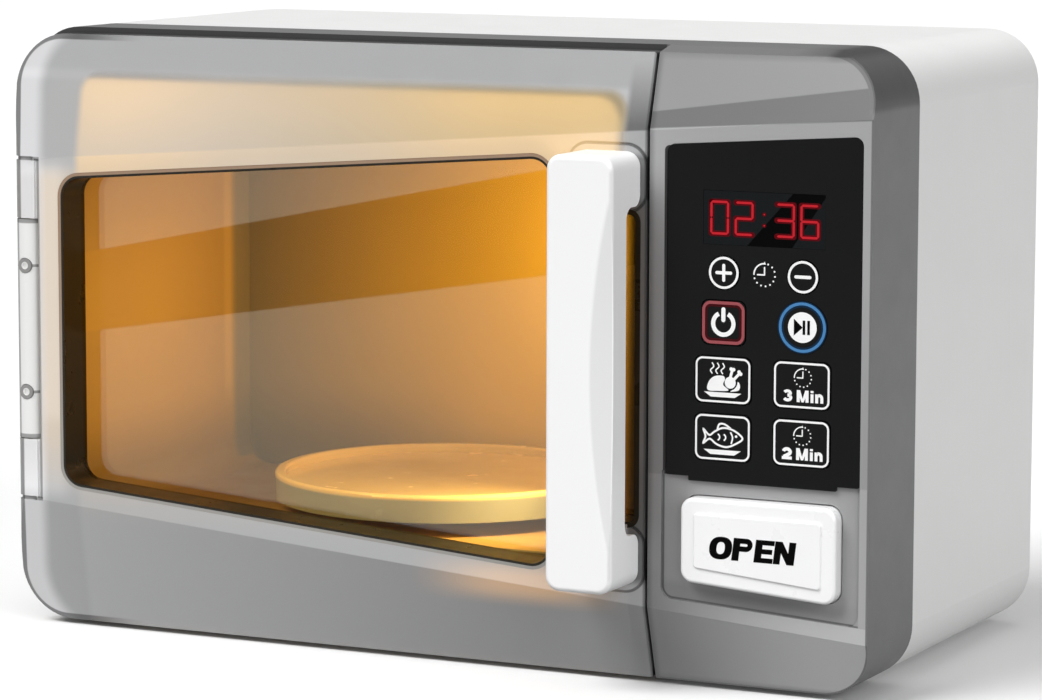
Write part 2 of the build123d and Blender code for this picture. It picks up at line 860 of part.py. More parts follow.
def door_shell():
    shell = slab(door_outline(), y_front, y_door_back)
    # The hinge side is a roll about the hinge line
    roll = Pos(hinge_x, hinge_y) * Circle(hinge_radius)
    width = x_door - hinge_x
    panel = Pos(hinge_x + width / 2, (y_front + y_door_back) / 2) * Rectangle(width, door_depth)
    shell &= Pos(0, 0, z_bottom) * extrude(roll + panel, case_height)
    inside = [(door_inside_x, z_bottom + door_wall), (door_inside_x, z_door_top - door_wall),
              (x_door - door_wall, z_door_top - door_wall), (x_door - door_wall, z_bottom + door_wall)]
    inside = outline(inside, [corner_radius / 2, corner_radius / 2, seam_corner_radius, seam_corner_radius])
    shell -= slab(inside, y_front + door_wall, y_door_back + 1) - facets(door_wall)
    for z in foot_levels():
        shell += rod_y(grip_x, z, column_radius, y_front + door_wall - 0.5, y_front + 3 * door_wall)
        plinth = Pos(grip_x, z) * RectangleRounded(
            grip_width + 2 * plinth_border, foot_length + 2 * plinth_border, grip_round + plinth_border)
        shell += slab(plinth & door_face(), y_front - plinth_height, y_front + 1)
    shell += rod_y(catch_screw_x(), latch_level, boss_radius, y_front + door_wall - 0.5, catch_plate_y())
    shell -= facets()
    shell -= slab(window_outline(), y_front - 1, y_door_back + 1)
    z0, z1 = hinge_levels()
    notch = hinge_x + hinge_radius + knuckle_gap
    shell -= block(x_left - 1, notch, y_front - 1, y_door_back + 1, z0, z1)
    # Bores for the hinge pins, deep enough to slide the pins in
    for low, high in ((z0 - hinge_pin_length - 1, z0), (z1, z1 + hinge_pin_length + 1)):
        shell -= rod_z(hinge_x, hinge_y, hinge_pin_radius + hinge_bore_gap, low, high)
    # Grooves that mark the knuckles
    ring = Pos(hinge_x, hinge_y) * (Circle(hinge_radius + 1) - Circle(hinge_radius - knuckle_groove))
    for z in (z_middle - knuckle_half, z_middle + knuckle_half):
        shell -= Pos(0, 0, z - groove_width / 2) * extrude(ring, groove_width)
    groove_x = hinge_x + hinge_radius
    shell -= block(groove_x - groove_width / 2, groove_x + groove_width / 2, y_front - 1,
                   y_front + knuckle_groove, z_middle - knuckle_half, z_middle + knuckle_half)
    for z in foot_levels():
        shell -= rod_y(grip_x, z, screw_radius + 0.2, y_front - 1, y_front + 4 * door_wall)
    y_plate = catch_plate_y()
    shell -= rod_y(catch_screw_x(), latch_level, board_screw_radius, y_plate - 4.2, y_plate + 1)
    return shell


def door_face():
    wide = x_door - door_inside_x
    return Pos(x_door - wide / 2, z_middle) * Rectangle(wide, case_height)


def window_frame():
    hole = window_outline()
    y_end = y_pane + pane_thickness + pane_seat
    frame = slab(hole, y_front + 0.15, y_end)
    y_flange = y_front + door_wall
    frame += slab(window_outline(frame_flange), y_flange, y_flange + flange_thickness)
    return frame - slab(offset(hole, amount=-frame_wall), y_front - 1, y_end + 1)


def window_pane():
    return slab(offset(window_outline(), amount=-frame_wall), y_pane, y_pane + pane_thickness)


def handle():
    half = grip_height / 2
    side = rounded(grip_x0, grip_x1, z_middle - half, z_middle + half, grip_round)
    body = slab(side, y_grip_front, y_front - plinth_height)
    gap = foot_length
    body -= block(grip_x0 - 1, grip_x1 + 1, y_grip_back, y_front + 1,
                  z_middle - half + gap, z_middle + half - gap)
    inner = [e for e in body.edges().filter_by(Axis.X)
             if abs(e.center().Y - y_grip_back) < 0.01 or abs(e.center().Z - z_middle) < half - 1]
    body = fillet(inner, grip_round * 0.8)
    front = body.faces().sort_by(Axis.Y)[0]
    body = fillet(front.edges(), handle_edge)
    # A shallow scoop for the fingers along the right edge of the grip
    lean = scoop_depth / scoop_width
    radius = scoop_half_length ** 2 / (2 * scoop_depth)
    angle = atan2(scoop_depth, scoop_width)
    centre_y = y_grip_front + scoop_depth - radius / cos(angle)
    plane = Plane(origin=(grip_x1, centre_y, z_middle), x_dir=(0, 0, 1), z_dir=(1, lean, 0))
    drum = plane * extrude(Circle(radius), radius / 2, both=True)
    body -= drum & block(grip_x - 2, grip_x1 + 5, y_grip_front - 5, y_grip_back,
                         z_middle - half, z_middle + half)
    for z in foot_levels():
        body -= rod_y(grip_x, z, screw_radius - pilot_gap, y_front - 8, y_front + 1)
    return body


def handle_screws():
    y_head = y_front + 3 * door_wall
    return [screw_y(grip_x, z, screw_radius - pilot_gap, screw_head_radius, y_head, handle_screw_length)
            for z in foot_levels()]


def hinge_block():
    z0, z1 = hinge_levels()
    z0, z1 = z0 + knuckle_gap, z1 - knuckle_gap
    barrel = rod_z(hinge_x, hinge_y, hinge_radius, z0, z1)
    barrel += block(x_left, hinge_x + 2, hinge_y, y_ring, z0, z1)
    for z in (z_middle - hinge_screw_half, z_middle + hinge_screw_half):
        barrel -= rod_y(hinge_x, z, screw_radius, y_front - 1, y_ring + 1)
        barrel -= rod_y(hinge_x, z, screw_head_radius * 0.8, y_front - 1, y_front + 1.5)
    for low, high in pin_spans():
        barrel -= rod_z(hinge_x, hinge_y, hinge_pin_radius, low, high)
    return barrel


def pin_spans():
    start, end = hinge_pin_start, hinge_pin_start + hinge_pin_length
    return (z_middle - end, z_middle - start), (z_middle + start, z_middle + end)


def hinge_pins():
    return [rod_z(hinge_x, hinge_y, hinge_pin_radius, low, high) for low, high in pin_spans()]


def hinge_screws():
    screws = []
    for z in (z_middle - hinge_screw_half, z_middle + hinge_screw_half):
        head = rod_y(hinge_x, z, screw_head_radius * 0.75, y_front + 0.1, y_front + 1.5)
        shank = rod_y(hinge_x, z, screw_radius, y_front + 1.5, y_inside + 3)
        recess = rod_y(hinge_x, z, screw_radius * 0.6, y_front - 1, y_front + 0.9)
        screws.append(head + shank - recess)
    return screws


# Turntable and its drive

def gear_face(teeth, turn=0.0):
    # Involute outline, with its first tooth pointing along +X before the turn in degrees
    pitch = gear_module * teeth / 2
    base = pitch * cos(radians(pressure_angle))
    tip = pitch + tooth_height * gear_module
    root = pitch - tooth_root * gear_module
    half = (pi * gear_module / 2 - tooth_thinning) / (2 * pitch)

    def involute(angle):
        return tan(angle) - angle

    start = max(base, root)
    radii = [start + (tip - start) * i / 4 for i in range(5)]
    reach = [half + involute(radians(pressure_angle)) - involute(acos(min(1, base / r))) for r in radii]
    points = []
    for i in range(teeth):
        middle = 2 * pi * i / teeth + radians(turn)
        flank = list(zip([root] + radii, [reach[0]] + reach))
        if start == root:
            flank = flank[1:]
        points += [(r * cos(middle - a), r * sin(middle - a)) for r, a in flank]
        points += [(r * cos(middle + a), r * sin(middle + a)) for r, a in reversed(flank)]
    return make_face(Polyline(*points, close=True))


def pitch_radius(teeth):
    return gear_module * teeth / 2


idler_x = turntable_x - pitch_radius(hub_teeth) - pitch_radius(pinion_teeth)
motor_x = idler_x - pitch_radius(idler_teeth) - pitch_radius(pinion_teeth)
z_plate = z_bottom + case_wall + gearbox_plate
z_motor = z_plate + motor_height
z_idler = z_motor + 1.2
z_hub = z_idler + gear_width + gear_space
z_cover = z_hub + gear_width + 1.0


def gearbox_span(margin):
    x0 = motor_x - motor_radius - margin
    x1 = turntable_x + pitch_radius(hub_teeth) + margin
    reach = pitch_radius(hub_teeth) + margin
    return x0, x1, turntable_y - reach, turntable_y + reach


def gearbox_face(margin):
    x0, x1, y0, y1 = gearbox_span(margin)
    return Pos((x0 + x1) / 2, (y0 + y1) / 2) * RectangleRounded(x1 - x0, y1 - y0, margin)


def gearbox_base():
    outer = gearbox_face(gearbox_margin)
    inner = gearbox_face(gearbox_margin - gearbox_wall)
    base = Pos(0, 0, z_plate - gearbox_plate) * extrude(outer, gearbox_plate)
    base += Pos(0, 0, z_plate) * extrude(outer - inner, z_cover - z_plate)
    base += rod_z(turntable_x, turntable_y, 2 * post_radius, z_plate - 1, z_hub - 0.3)
    base += rod_z(turntable_x, turntable_y, post_radius, z_plate, cavity_floor + 1)
    return base


def gearbox_cover():
    cover = Pos(0, 0, z_cover) * extrude(gearbox_face(gearbox_margin), liner_gap())
    return cover - rod_z(turntable_x, turntable_y, collar_radius + collar_gap, z_cover - 1, cavity_floor)


def liner_gap():
    return cavity_floor - liner_wall - z_cover


def drive_motor():
    can = rod_z(motor_x, turntable_y, motor_radius, z_plate, z_motor)
    can = fillet(can.faces().sort_by(Axis.Z)[-1].edges(), 1)
    return can


def motor_pinion():
    gear = extrude(gear_face(pinion_teeth), gear_width)
    shaft = rod_z(0, 0, motor_shaft_radius, -0.9, 0.2)
    return Pos(motor_x, turntable_y, z_idler) * (gear + shaft)


def compound_gear():
    # The wheel meets the motor's pinion with a gap, the small gear meets the hub with a tooth
    wheel = extrude(gear_face(idler_teeth, 180.0 / idler_teeth), gear_width)
    pinion = Pos(0, 0, gear_width) * extrude(gear_face(pinion_teeth), gear_space + gear_width)
    gear = wheel + pinion - rod_z(0, 0, post_radius / 2 + running_gap, -1, 2 * gear_width + 1)
    return Pos(idler_x, turntable_y, z_idler) * gear


def idler_pin():
    pin = rod_z(idler_x, turntable_y, post_radius / 2, z_idler - 1, z_cover)
    return pin + rod_z(idler_x, turntable_y, 2 * post_radius, z_plate, z_idler - 0.3)


def hex_face(across):
    return RegularPolygon(across / 2, 6, major_radius=False)


def turntable_hub():
    gear = extrude(gear_face(hub_teeth, 180.0 / hub_teeth), gear_width)
    shoulder = plate_bottom - z_hub - hub_drop()
    gear += extrude(Circle(collar_radius), shoulder)
    gear += Pos(0, 0, shoulder) * extrude(hex_face(hex_across), hex_height)
    bore = extrude(Circle(post_radius + running_gap), cavity_floor + 1.3 - z_hub)
    return Pos(turntable_x, turntable_y, z_hub) * (gear - bore)


def hub_drop():
    # The plate's socket reaches this far below its rim
    return 2.0


def turntable_plate():
    z0 = plate_bottom
    z1 = plate_bottom + plate_height
    z_dish = z1 - plate_dish
    plate = rod_z(0, 0, plate_radius, z0, z1)
    plate -= rod_z(0, 0, plate_radius - plate_lip, z_dish, z1 + 1)
    plate -= rod_z(0, 0, plate_radius - plate_lip, z0 - 1, z_dish - plate_skin)
    plate += rod_z(0, 0, hub_socket_radius, z0 - hub_drop(), z_dish - plate_skin + 0.5)
    socket = Pos(0, 0, z0 - hub_drop() - 1) * extrude(hex_face(hex_across + 2 * hex_gap), hex_height + 1.3)
    plate -= socket
    rims = [e for e in plate.edges().filter_by(GeomType.CIRCLE) if e.center().Z > z1 - 0.01]
    plate = fillet(rims, plate_lip * 0.3)
    return Pos(turntable_x, turntable_y, 0) * plate


# Battery bay

def bay_span(grow=0.0):
    x_mid = (x_panel + x_right) / 2
    half_x = cell_length / 2 + contact_space / 2 + grow
    half_z = cell_count * cell_pitch / 2 + grow
    return x_mid - half_x, x_mid + half_x, bay_level - half_z, bay_level + half_z


def bay_opening():
    x0, x1, z0, z1 = bay_span(-1.0)
    return rounded(x0, x1, z0, z1, 2)


def cover_face(grow=0.0):
    x0, x1, z0, _ = bay_span(cover_border - 1.0 + grow)
    z1 = battery_screw_place()[1] + 3.2 + grow
    return rounded(x0, x1, z0, z1, 3)


def battery_screw_place():
    x0, x1, _, z1 = bay_span(bay_wall)
    return (x0 + x1) / 2, z1 + boss_radius + 0.3


def battery_box():
    y1 = y_back - case_wall
    y0 = y1 - 2 * cell_radius - 1.0 - bay_wall
    x0, x1, z0, z1 = bay_span(bay_wall)
    box = block(x0, x1, y0, y1, z0, z1)
    x0, x1, z0, z1 = bay_span()
    return box - block(x0, x1, y0 + bay_wall, y1 + 1, z0, z1)


def cell_places():
    for i in range(cell_count):
        yield bay_level + (i - (cell_count - 1) / 2) * cell_pitch


def cell_axis_y():
    return y_back - case_wall - cell_radius - 0.3


def battery_cells():
    # The positive end of each cell alternates, so that the cells stand in series
    x0, x1, _, _ = bay_span()
    cells = []
    for i, z in enumerate(cell_places()):
        way = 1 if i % 2 == 0 else -1
        middle = (x0 + x1) / 2 + way * (contact_space / 2 - contact_thickness - 1.0)
        cell = rod_x(cell_axis_y(), z, cell_radius, middle - cell_length / 2, middle + cell_length / 2)
        cell = fillet(cell.edges().filter_by(GeomType.CIRCLE), 0.6)
        end = middle + way * cell_length / 2
        cell += rod_x(cell_axis_y(), z, 2.7, min(end, end + way * 1.0), max(end, end + way * 1.0))
        cells.append(cell)
    return cells


def battery_contacts():
    x0, x1, _, _ = bay_span()
    plates = []
    for z in cell_places():
        for x in (x0, x1 - contact_thickness):
            plates.append(block(x, x + contact_thickness, cell_axis_y() - 5, cell_axis_y() + 5, z - 5, z + 5))
    return plates


def battery_springs():
    x0, x1, _, _ = bay_span()
    springs = []
    for i, z in enumerate(cell_places()):
        way = 1 if i % 2 == 0 else -1
        start = x0 + contact_thickness if way > 0 else x1 - contact_thickness
        length = contact_space - 2 * contact_thickness - 1.0
        place = Plane(origin=(start, cell_axis_y(), z), z_dir=(way, 0, 0))
        springs.append(place * coil(3.0, length, 2, spring_wire))
    return springs


def battery_cover():
    cover = slab(cover_face(), y_back - cover_thickness, y_back)
    x0, x1, z0, z1 = bay_span(-1.0 - cover_gap)
    cover += slab(rounded(x0, x1, z0, z1, 2), y_back - case_wall + 0.1, y_back - cover_thickness + 0.5)
    x, z = battery_screw_place()
    cover -= rod_y(x, z, board_screw_radius + 0.3, y_back - 5, y_back + 1)
    cover -= rod_y(x, z, 2.4, y_back - cover_thickness * 0.5, y_back + 1)
    for i in range(5):
        ridge = x0 + (x1 - x0) * (0.3 + 0.1 * i)
        cover -= block(ridge, ridge + 1.2, y_back - 0.4, y_back + 1, z0 + 3, z0 + 11)
    return cover


def battery_screw():
    x, z = battery_screw_place()
    head = rod_y(x, z, 2.2, y_back - cover_thickness * 0.5, y_back - 0.05)
    shank = rod_y(x, z, board_screw_radius - 0.05, y_back - 3 * case_wall + 0.3, y_back - cover_thickness * 0.5)
    slot = block(x - 1.6, x + 1.6, y_back - 0.4, y_back + 1, z - drive_slot / 2, z + drive_slot / 2)
    return head + shank - slot


nodes = {
    "rear_housing": rear_housing,
    "front_bezel": front_bezel,
    "rubber_feet": rubber_feet,
    "case_screws": case_screws,
    "speaker": speaker,
    "control_fascia": control_fascia,
    "display_lens": display_lens,
    "display_module": display_module,
    "control_board": control_board,
    "board_screws": board_screws,
    "keypad_mat": keypad_mat,
    "open_button": open_button,
    "open_spring": open_spring,
    "latch_slide": latch_slide,
    "latch_spring": latch_spring,
    "cavity_liner": cavity_liner,
    "lamp_lens": lamp_lens,
    "lamp_housing": lamp_housing,
    "lamp_led": lamp_led,
    "hinge_block": hinge_block,
    "hinge_pins": hinge_pins,
    "hinge_screws": hinge_screws,
    "door_shell": door_shell,
    "window_frame": window_frame,
    "window_pane": window_pane,
    "door_catch": door_catch,
    "catch_screw": catch_screw,
    "handle": handle,
    "handle_screws": handle_screws,
    "turntable_plate": turntable_plate,
    "turntable_hub": turntable_hub,
    "compound_gear": compound_gear,
    "idler_pin": idler_pin,
    "motor_pinion": motor_pinion,
    "drive_motor": drive_motor,
    "gearbox_base": gearbox_base,
    "gearbox_cover": gearbox_cover,
    "battery_box": battery_box,
    "battery_cells": battery_cells,
    "battery_contacts": battery_contacts,
    "battery_springs": battery_springs,
    "battery_cover": battery_cover,
    "battery_screw": battery_screw,
}

os.makedirs("parts", exist_ok=True)
shapes = {name: make() for name, make in nodes.items()}
shapes.update(keys())
for name, shape in shapes.items():
    whole = Compound(children=list(shape)) if isinstance(shape, list) else shape
    export_step(whole, f"parts/{name}.step")
    print(name, round(whole.volume, 1))
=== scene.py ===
import json
from math import atan2, cos, degrees, radians, sin

import bmesh
import bpy
from mathutils import Matrix, Vector


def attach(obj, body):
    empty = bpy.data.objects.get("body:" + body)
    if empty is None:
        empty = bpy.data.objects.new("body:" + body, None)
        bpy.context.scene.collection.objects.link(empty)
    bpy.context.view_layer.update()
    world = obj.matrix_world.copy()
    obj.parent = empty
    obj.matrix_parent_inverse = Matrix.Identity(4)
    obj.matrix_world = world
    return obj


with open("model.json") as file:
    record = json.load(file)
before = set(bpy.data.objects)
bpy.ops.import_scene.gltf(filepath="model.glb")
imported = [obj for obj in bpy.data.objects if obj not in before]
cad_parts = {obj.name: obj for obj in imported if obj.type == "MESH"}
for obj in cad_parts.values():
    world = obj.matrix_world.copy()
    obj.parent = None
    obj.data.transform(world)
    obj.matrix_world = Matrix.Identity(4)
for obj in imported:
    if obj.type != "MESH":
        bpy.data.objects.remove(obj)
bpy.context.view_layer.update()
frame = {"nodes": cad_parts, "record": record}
nodes = frame["nodes"]
mm = 0.001  # the scene is in metres, and its sizes are written in millimetres
print("frame loaded:", len(nodes), "nodes")


# Shader helpers. A Field is a shader's value, and it adds and multiplies like a number

class Field:
    def __init__(self, tree, socket):
        self.tree, self.socket = tree, socket

    def __add__(self, other):
        return calc("ADD", self, other)

    def __radd__(self, other):
        return calc("ADD", other, self)

    def __sub__(self, other):
        return calc("SUBTRACT", self, other)

    def __rsub__(self, other):
        return calc("SUBTRACT", other, self)

    def __mul__(self, other):
        return calc("MULTIPLY", self, other)

    def __rmul__(self, other):
        return calc("MULTIPLY", other, self)

    def __abs__(self):
        return calc("ABSOLUTE", self)


def treeOf(*values):
    return next(value.tree for value in values if isinstance(value, Field))


def feed(socket, value):
    if isinstance(value, Field):
        value.tree.links.new(value.socket, socket)
    else:
        socket.default_value = (*value, 1.0) if socket.type == "RGBA" else value


def shaderNode(tree, kind, sockets=None, output=0, **settings):
    node = tree.nodes.new("ShaderNode" + kind)
    for name, value in settings.items():
        setattr(node, name, value)
    for name, value in (sockets or {}).items():
        feed(node.inputs[name], value)
    return Field(tree, node.outputs[output])


def newMaterial(name, build, *given):
    material = bpy.data.materials.new(name)
    material.use_nodes = True
    tree = material.node_tree
    tree.nodes.clear()
    output = tree.nodes.new("ShaderNodeOutputMaterial")
    feed(output.inputs["Surface"], build(tree, *given))
    return material


def objectPlace(tree):
    return shaderNode(tree, "TexCoord", output="Object")


def axes(tree):
    # a place's X, Y and Z in millimetres
    place = {"Vector": objectPlace(tree)}
    return [shaderNode(tree, "SeparateXYZ", place, axis) * (1 / mm) for axis in "XYZ"]


def calc(operation, *values):
    return shaderNode(treeOf(*values), "Math", dict(enumerate(values)), operation=operation)


def larger(a, b):
    return calc("MAXIMUM", a, b)


def distance(a, b):
    return calc("SQRT", a * a + b * b)


def remap(value, low, high, toLow=0.0, toHigh=1.0, kind="LINEAR"):
    sockets = {"Value": value, "From Min": low, "From Max": high, "To Min": toLow, "To Max": toHigh}
    return shaderNode(value.tree, "MapRange", sockets, interpolation_type=kind)


def ease(value, low, high, toLow=0.0, toHigh=1.0):
    return remap(value, low, high, toLow, toHigh, "SMOOTHSTEP")


def between(value, low, high, soft):
    # 1 between two places, 0 outside, and soft is half the width of each edge
    return ease(value, low - soft, low + soft) * ease(value, high + soft, high - soft)


def hump(value, places):
    # rises between the first two places, stays 1, and falls between the last two
    return ease(value, places[0], places[1]) * ease(value, places[3], places[2])


def lessThan(value, place, soft):
    return ease(value, place + soft, place - soft)


def cornerReach(ax, az):
    # the distance from a rounded corner's centre, or from the line that it ends on
    return distance(larger(ax, 0), larger(az, 0))


def outlineDepth(across, height, outline):
    # How far inside the front's rounded outline a place is: across is its X towards that side, and
    # height its distance from the middle level
    ax = across - (outline["side"] - outline["corner"])
    az = height - (outline["half"] - outline["corner"])
    return outline["corner"] - (cornerReach(ax, az) + calc("MINIMUM", larger(ax, az), 0))


def blendColour(factor, first, second, mode="MIX"):
    tree = treeOf(factor, first, second)
    sockets = {0: factor, 6: first, 7: second}
    return shaderNode(tree, "Mix", sockets, 2, data_type="RGBA", blend_type=mode)


def toned(colour, mask, tone):
    return blendColour(mask, colour, (tone,) * 3, "MULTIPLY")


def tonedAll(colour, tones, *masks):
    for name, mask in masks:
        colour = toned(colour, mask, tones[name])
    return colour


def tintedBy(colour, factor):
    grey = shaderNode(factor.tree, "CombineColor", {channel: factor for channel in range(3)})
    return blendColour(1.0, colour, grey, "MULTIPLY")


def share(mask, amount):
    # 1 where the mask is 0, and the amount where it is 1
    return remap(mask, 0.0, 1.0, 1.0, amount)


def aboveLine(x, z, left, line, soft):
    # 1 above a slanting line given by its height at left and its rise along X, 0 below
    level, rise = line
    return ease(z - ((x - left) * rise + level), -soft, soft)


def shade(colour, amount):
    return tuple(min(c * amount, 1.0) for c in colour)


def noise(place, size, detail=2.0, roughness=0.5):
    sockets = {"Vector": place, "Scale": 1 / (size * mm), "Detail": detail, "Roughness": roughness}
    return shaderNode(place.tree, "TexNoise", sockets)


def bump(height, depth, under=None):
    sockets = {"Height": height, "Distance": depth * mm}
    if under is not None:
        sockets["Normal"] = under
    return shaderNode(height.tree, "Bump", sockets)


def principled(tree, colour, roughness, normal=None, more=None):
    sockets = {"Base Color": colour, "Roughness": roughness}
    if normal is not None:
        sockets["Normal"] = normal
    return shaderNode(tree, "BsdfPrincipled", sockets | (more or {}))


# Moulded plastic: a soft cloud in the colour, uneven gloss, and the tool's fine grain

plasticSizes = {"cloud": 40, "smear": 9, "flow": 22}


def mouldedSurface(tree, look):
    place = objectPlace(tree)
    cloud = noise(place, plasticSizes["cloud"], 3)
    dark, light = (shade(look["colour"], 1 + side * look["cloud"]) for side in (-1, 1))
    colour = blendColour(cloud, dark, light)
    smear = noise(place, plasticSizes["smear"], 4, 0.6)
    roughness = remap(smear, 0.25, 0.75, look["rough"] - look["smear"], look["rough"] + look["smear"])
    flow = bump(noise(place, plasticSizes["flow"], 1), look.get("wave", 0.02))
    normal = bump(noise(place, look["grainSize"], 2), look["grainDepth"], flow)
    return colour, roughness, normal


def moulded(tree, look, paint=None):
    # paint changes the colour from place to place
    colour, roughness, normal = mouldedSurface(tree, look)
    if paint:
        colour = paint(look, colour, *axes(tree))
    return principled(tree, colour, roughness, normal, {
        "Specular IOR Level": look.get("specular", 0.5), "Coat Weight": look.get("coat", 0.0),
        "Coat Roughness": look.get("coatRough", 0.08)})


def plastic(colour, cloud, rough, smear, grainSize, grainDepth, **more):
    # cloud is how far the colour varies and smear how far the roughness does; the grain is in millimetres
    return {"colour": colour, "cloud": cloud, "rough": rough, "smear": smear, "grainSize": grainSize,
            "grainDepth": grainDepth, **more}


mouldings = {
    "white_shell": plastic((0.775, 0.775, 0.77), 0.015, 0.42, 0.05, 0.5, 0.012),
    "white_button": plastic((0.885, 0.885, 0.89), 0.012, 0.30, 0.05, 0.6, 0.004),
    "dark_frame": plastic((0.014, 0.011, 0.006), 0.15, 0.30, 0.05, 0.5, 0.004, specular=0.22),
    "gloss_black": plastic((0.0045, 0.0045, 0.0048), 0.10, 0.16, 0.03, 0.8, 0.001, specular=0.09,
                           wave=0.005),
    "black_plastic": plastic((0.022, 0.022, 0.024), 0.12, 0.5, 0.08, 0.4, 0.02),
    "grey_plastic": plastic((0.47, 0.47, 0.465), 0.03, 0.42, 0.06, 0.5, 0.01),
    "warm_liner": plastic((0.52, 0.37, 0.20), 0.05, 0.38, 0.06, 0.6, 0.01),
    "cream_plate": plastic((0.86, 0.68, 0.42), 0.03, 0.24, 0.05, 0.7, 0.004, coat=0.3),
}


# The grey bezel, with light and shade painted into its colour: painted shade darkens its side wall
# towards the key panel, a painted reflection crosses the panel's upper facet as a darker wedge, and
# painted light makes the panel paler to the right

bezelLook = plastic((0.245, 0.245, 0.247), 0.012, 0.44, 0.04, 0.45, 0.010, specular=0.3, wave=0.004) | {
    # the tones of the painted shade, shadow and reflection; the pale gains below are painted light
    "tones": {"side": 0.61, "rim": 0.56, "bend": 0.54, "wedge": 0.56, "surround": 0.45, "inside": 0.88,
              "shade": 0.58, "dim": 0.81, "seam": 0.62, "gap": 0.05, "ring": 0.28},
    "middle": 85.8, "outline": {"side": 130.0, "half": 84.3, "corner": 15.0},
    "upperCorner": (155.1, 200.0), "rim": 1.4, "rimAcross": (105.0, 117.0), "edge": 0.5,
    "side": (-50.6, -49.6), "sideAcross": (-60.0, 70.0),
    "bend": (113.5, 117.5, 119.5, 124.0),  # painted shade where the corner turns up
    # the painted reflection's wedge: its upper edge and its foot, each as the height at the panel's left
    # and the rise along X
    "wedgeLeft": 67.6, "wedgeHigh": (153.2, 0.131), "wedgeLow": (148.9, 0.066), "seam": (69.6, 67.6),
    "pale": (72.5, 82.0), "paleTop": (129.0, 142.0), "paleGain": 0.42, "paleInside": 0.6,
    "stripPale": (72.5, 124.0), "stripGain": 0.78, "dim": (118.0, 62.0), "dimEnd": 57.7,
    # round the door button: painted shade on its surround and under the button, and painted light on the
    # strip under it
    "surroundLeft": 71.45, "surroundRight": 127.45, "surroundFoot": 24.7, "surroundFall": -0.0625,
    "surroundCorner": 3.0, "surroundEdge": (2.4, 2.6), "shade": (24.6, 25.2, 27.5, 31.0),
    "shadeAcross": (58.0, 90.0, 97.0, 134.0),
    # a painted shadow in the gap beside the keys
    "gapLeft": 71.85, "gapRight": 75.5, "gapTop": 144.75, "gapCorner": 1.4,
    "ring": (167.7, 167.9), "ringEnd": 66.5, "ringBack": -42.3,  # painted shade on the ring above the door
}


def bezelPaintedLightAndShade(look, colour, x, y, z):
    # painted shade on the side wall and on the rounded outline of the upper corner
    depth = outlineDepth(x, abs(z - look["middle"]), look["outline"])
    corner = between(z, *look["upperCorner"], 1.2)
    rim = lessThan(depth, look["rim"], 0.12) * corner * remap(x, *look["rimAcross"])
    side = larger(remap(y, *look["side"]), lessThan(depth, look["edge"], 0.12))
    side = side * remap(x, *look["sideAcross"])
    # a painted reflection: the wedge between these two lines is darkened
    low, high = (aboveLine(x, z, look["wedgeLeft"], look[line], 0.25)
                 for line in ("wedgeLow", "wedgeHigh"))

    # painted light makes the surround of the door button pale at its upper right, and a painted shadow
    # darkens it under the button
    level = z - (x - look["surroundLeft"]) * look["surroundFall"]
    under = lessThan(z, look["dimEnd"], 0.2)
    reach = cornerReach(look["surroundLeft"] + look["surroundCorner"] - x,
                        look["surroundFoot"] + look["surroundCorner"] - level)
    inside = lessThan(reach, look["surroundCorner"], 0.1) * under
    inside = inside * lessThan(x, look["surroundRight"], 0.2)
    strip = lessThan(level, look["surroundFoot"], 0.1)

    # painted light: paler to the right and along the top, under the wedge, but not low down beside the
    # keys
    pale = larger(ease(x, *look["pale"]), inside * look["paleInside"])
    pale = larger(pale, ease(z, *look["paleTop"])) * (1.0 - strip) * look["paleGain"]
    pale = larger(pale, strip * ease(x, *look["stripPale"], 0, look["stripGain"])) * (1.0 - low)

    # a painted shadow in the gap to the left of the key panel, with a rounded upper corner
    gap = cornerReach(look["gapLeft"] + look["gapCorner"] - x, z - (look["gapTop"] - look["gapCorner"]))
    gap = lessThan(gap, look["gapCorner"], 0.1) * (lessThan(x, look["gapRight"], 0.1) - under)
    overDoor = remap(z, *look["ring"]) * lessThan(x, look["ringEnd"], 0.3)
    # painted shade by the seam and down the right strip, as well as in the gap and round the button
    onFront = {
        "wedge": low - high, "surround": inside * remap(reach, *look["surroundEdge"]), "inside": inside,
        "shade": hump(level, look["shade"]) * hump(x, look["shadeAcross"]) * inside,
        "dim": remap(z, *look["dim"]) * (1.0 - under), "seam": ease(x, *look["seam"]),
        "gap": larger(gap, 0)}
    front = 1.0 - larger(side, rim)
    masks = {"side": side, "rim": rim, "bend": hump(x, look["bend"]) * corner * side,
             "ring": overDoor * lessThan(y, look["ringBack"], 0.2)}
    masks.update({name: mask * front for name, mask in onFront.items()})
    factor = 1.0 + pale * front
    for name, mask in masks.items():
        factor = factor * share(mask, look["tones"][name])
    return tintedBy(colour, factor)


# Metals: turned or drawn, with fine lines along one axis

metalSkin = {"stainSize": 6, "stain": 0.86, "smoother": 0.08, "rougher": 0.1, "lineDepth": 0.006}


def drawnMetal(tree, look):
    place = objectPlace(tree)
    stretched = shaderNode(tree, "Mapping", {"Vector": place, "Scale": look["lines"]})
    lines = noise(stretched, look["lineSize"], 3)
    stain = noise(place, metalSkin["stainSize"], 3)
    colour = blendColour(stain, shade(look["colour"], metalSkin["stain"]), look["colour"])
    roughness = remap(lines, 0.2, 0.8, look["rough"] - metalSkin["smoother"],
                      look["rough"] + metalSkin["rougher"])
    return principled(tree, colour, roughness, bump(lines, metalSkin["lineDepth"]), {"Metallic": 1.0})


metals = {
    "steel": {"colour": (0.60, 0.60, 0.61), "rough": 0.28, "lines": (1, 0.15, 1), "lineSize": 0.25},
    "brass": {"colour": (0.74, 0.54, 0.22), "rough": 0.26, "lines": (1, 1, 0.2), "lineSize": 0.2},
    "zinc_can": {"colour": (0.66, 0.67, 0.68), "rough": 0.34, "lines": (0.2, 0.2, 1), "lineSize": 0.4},
}


# Rubber: dull, faintly dusty, with a pebbled skin

pebbles = {"dustSize": 5, "size": 0.7, "depth": 0.02, "rough": (0.72, 0.88), "sheen": 0.12}


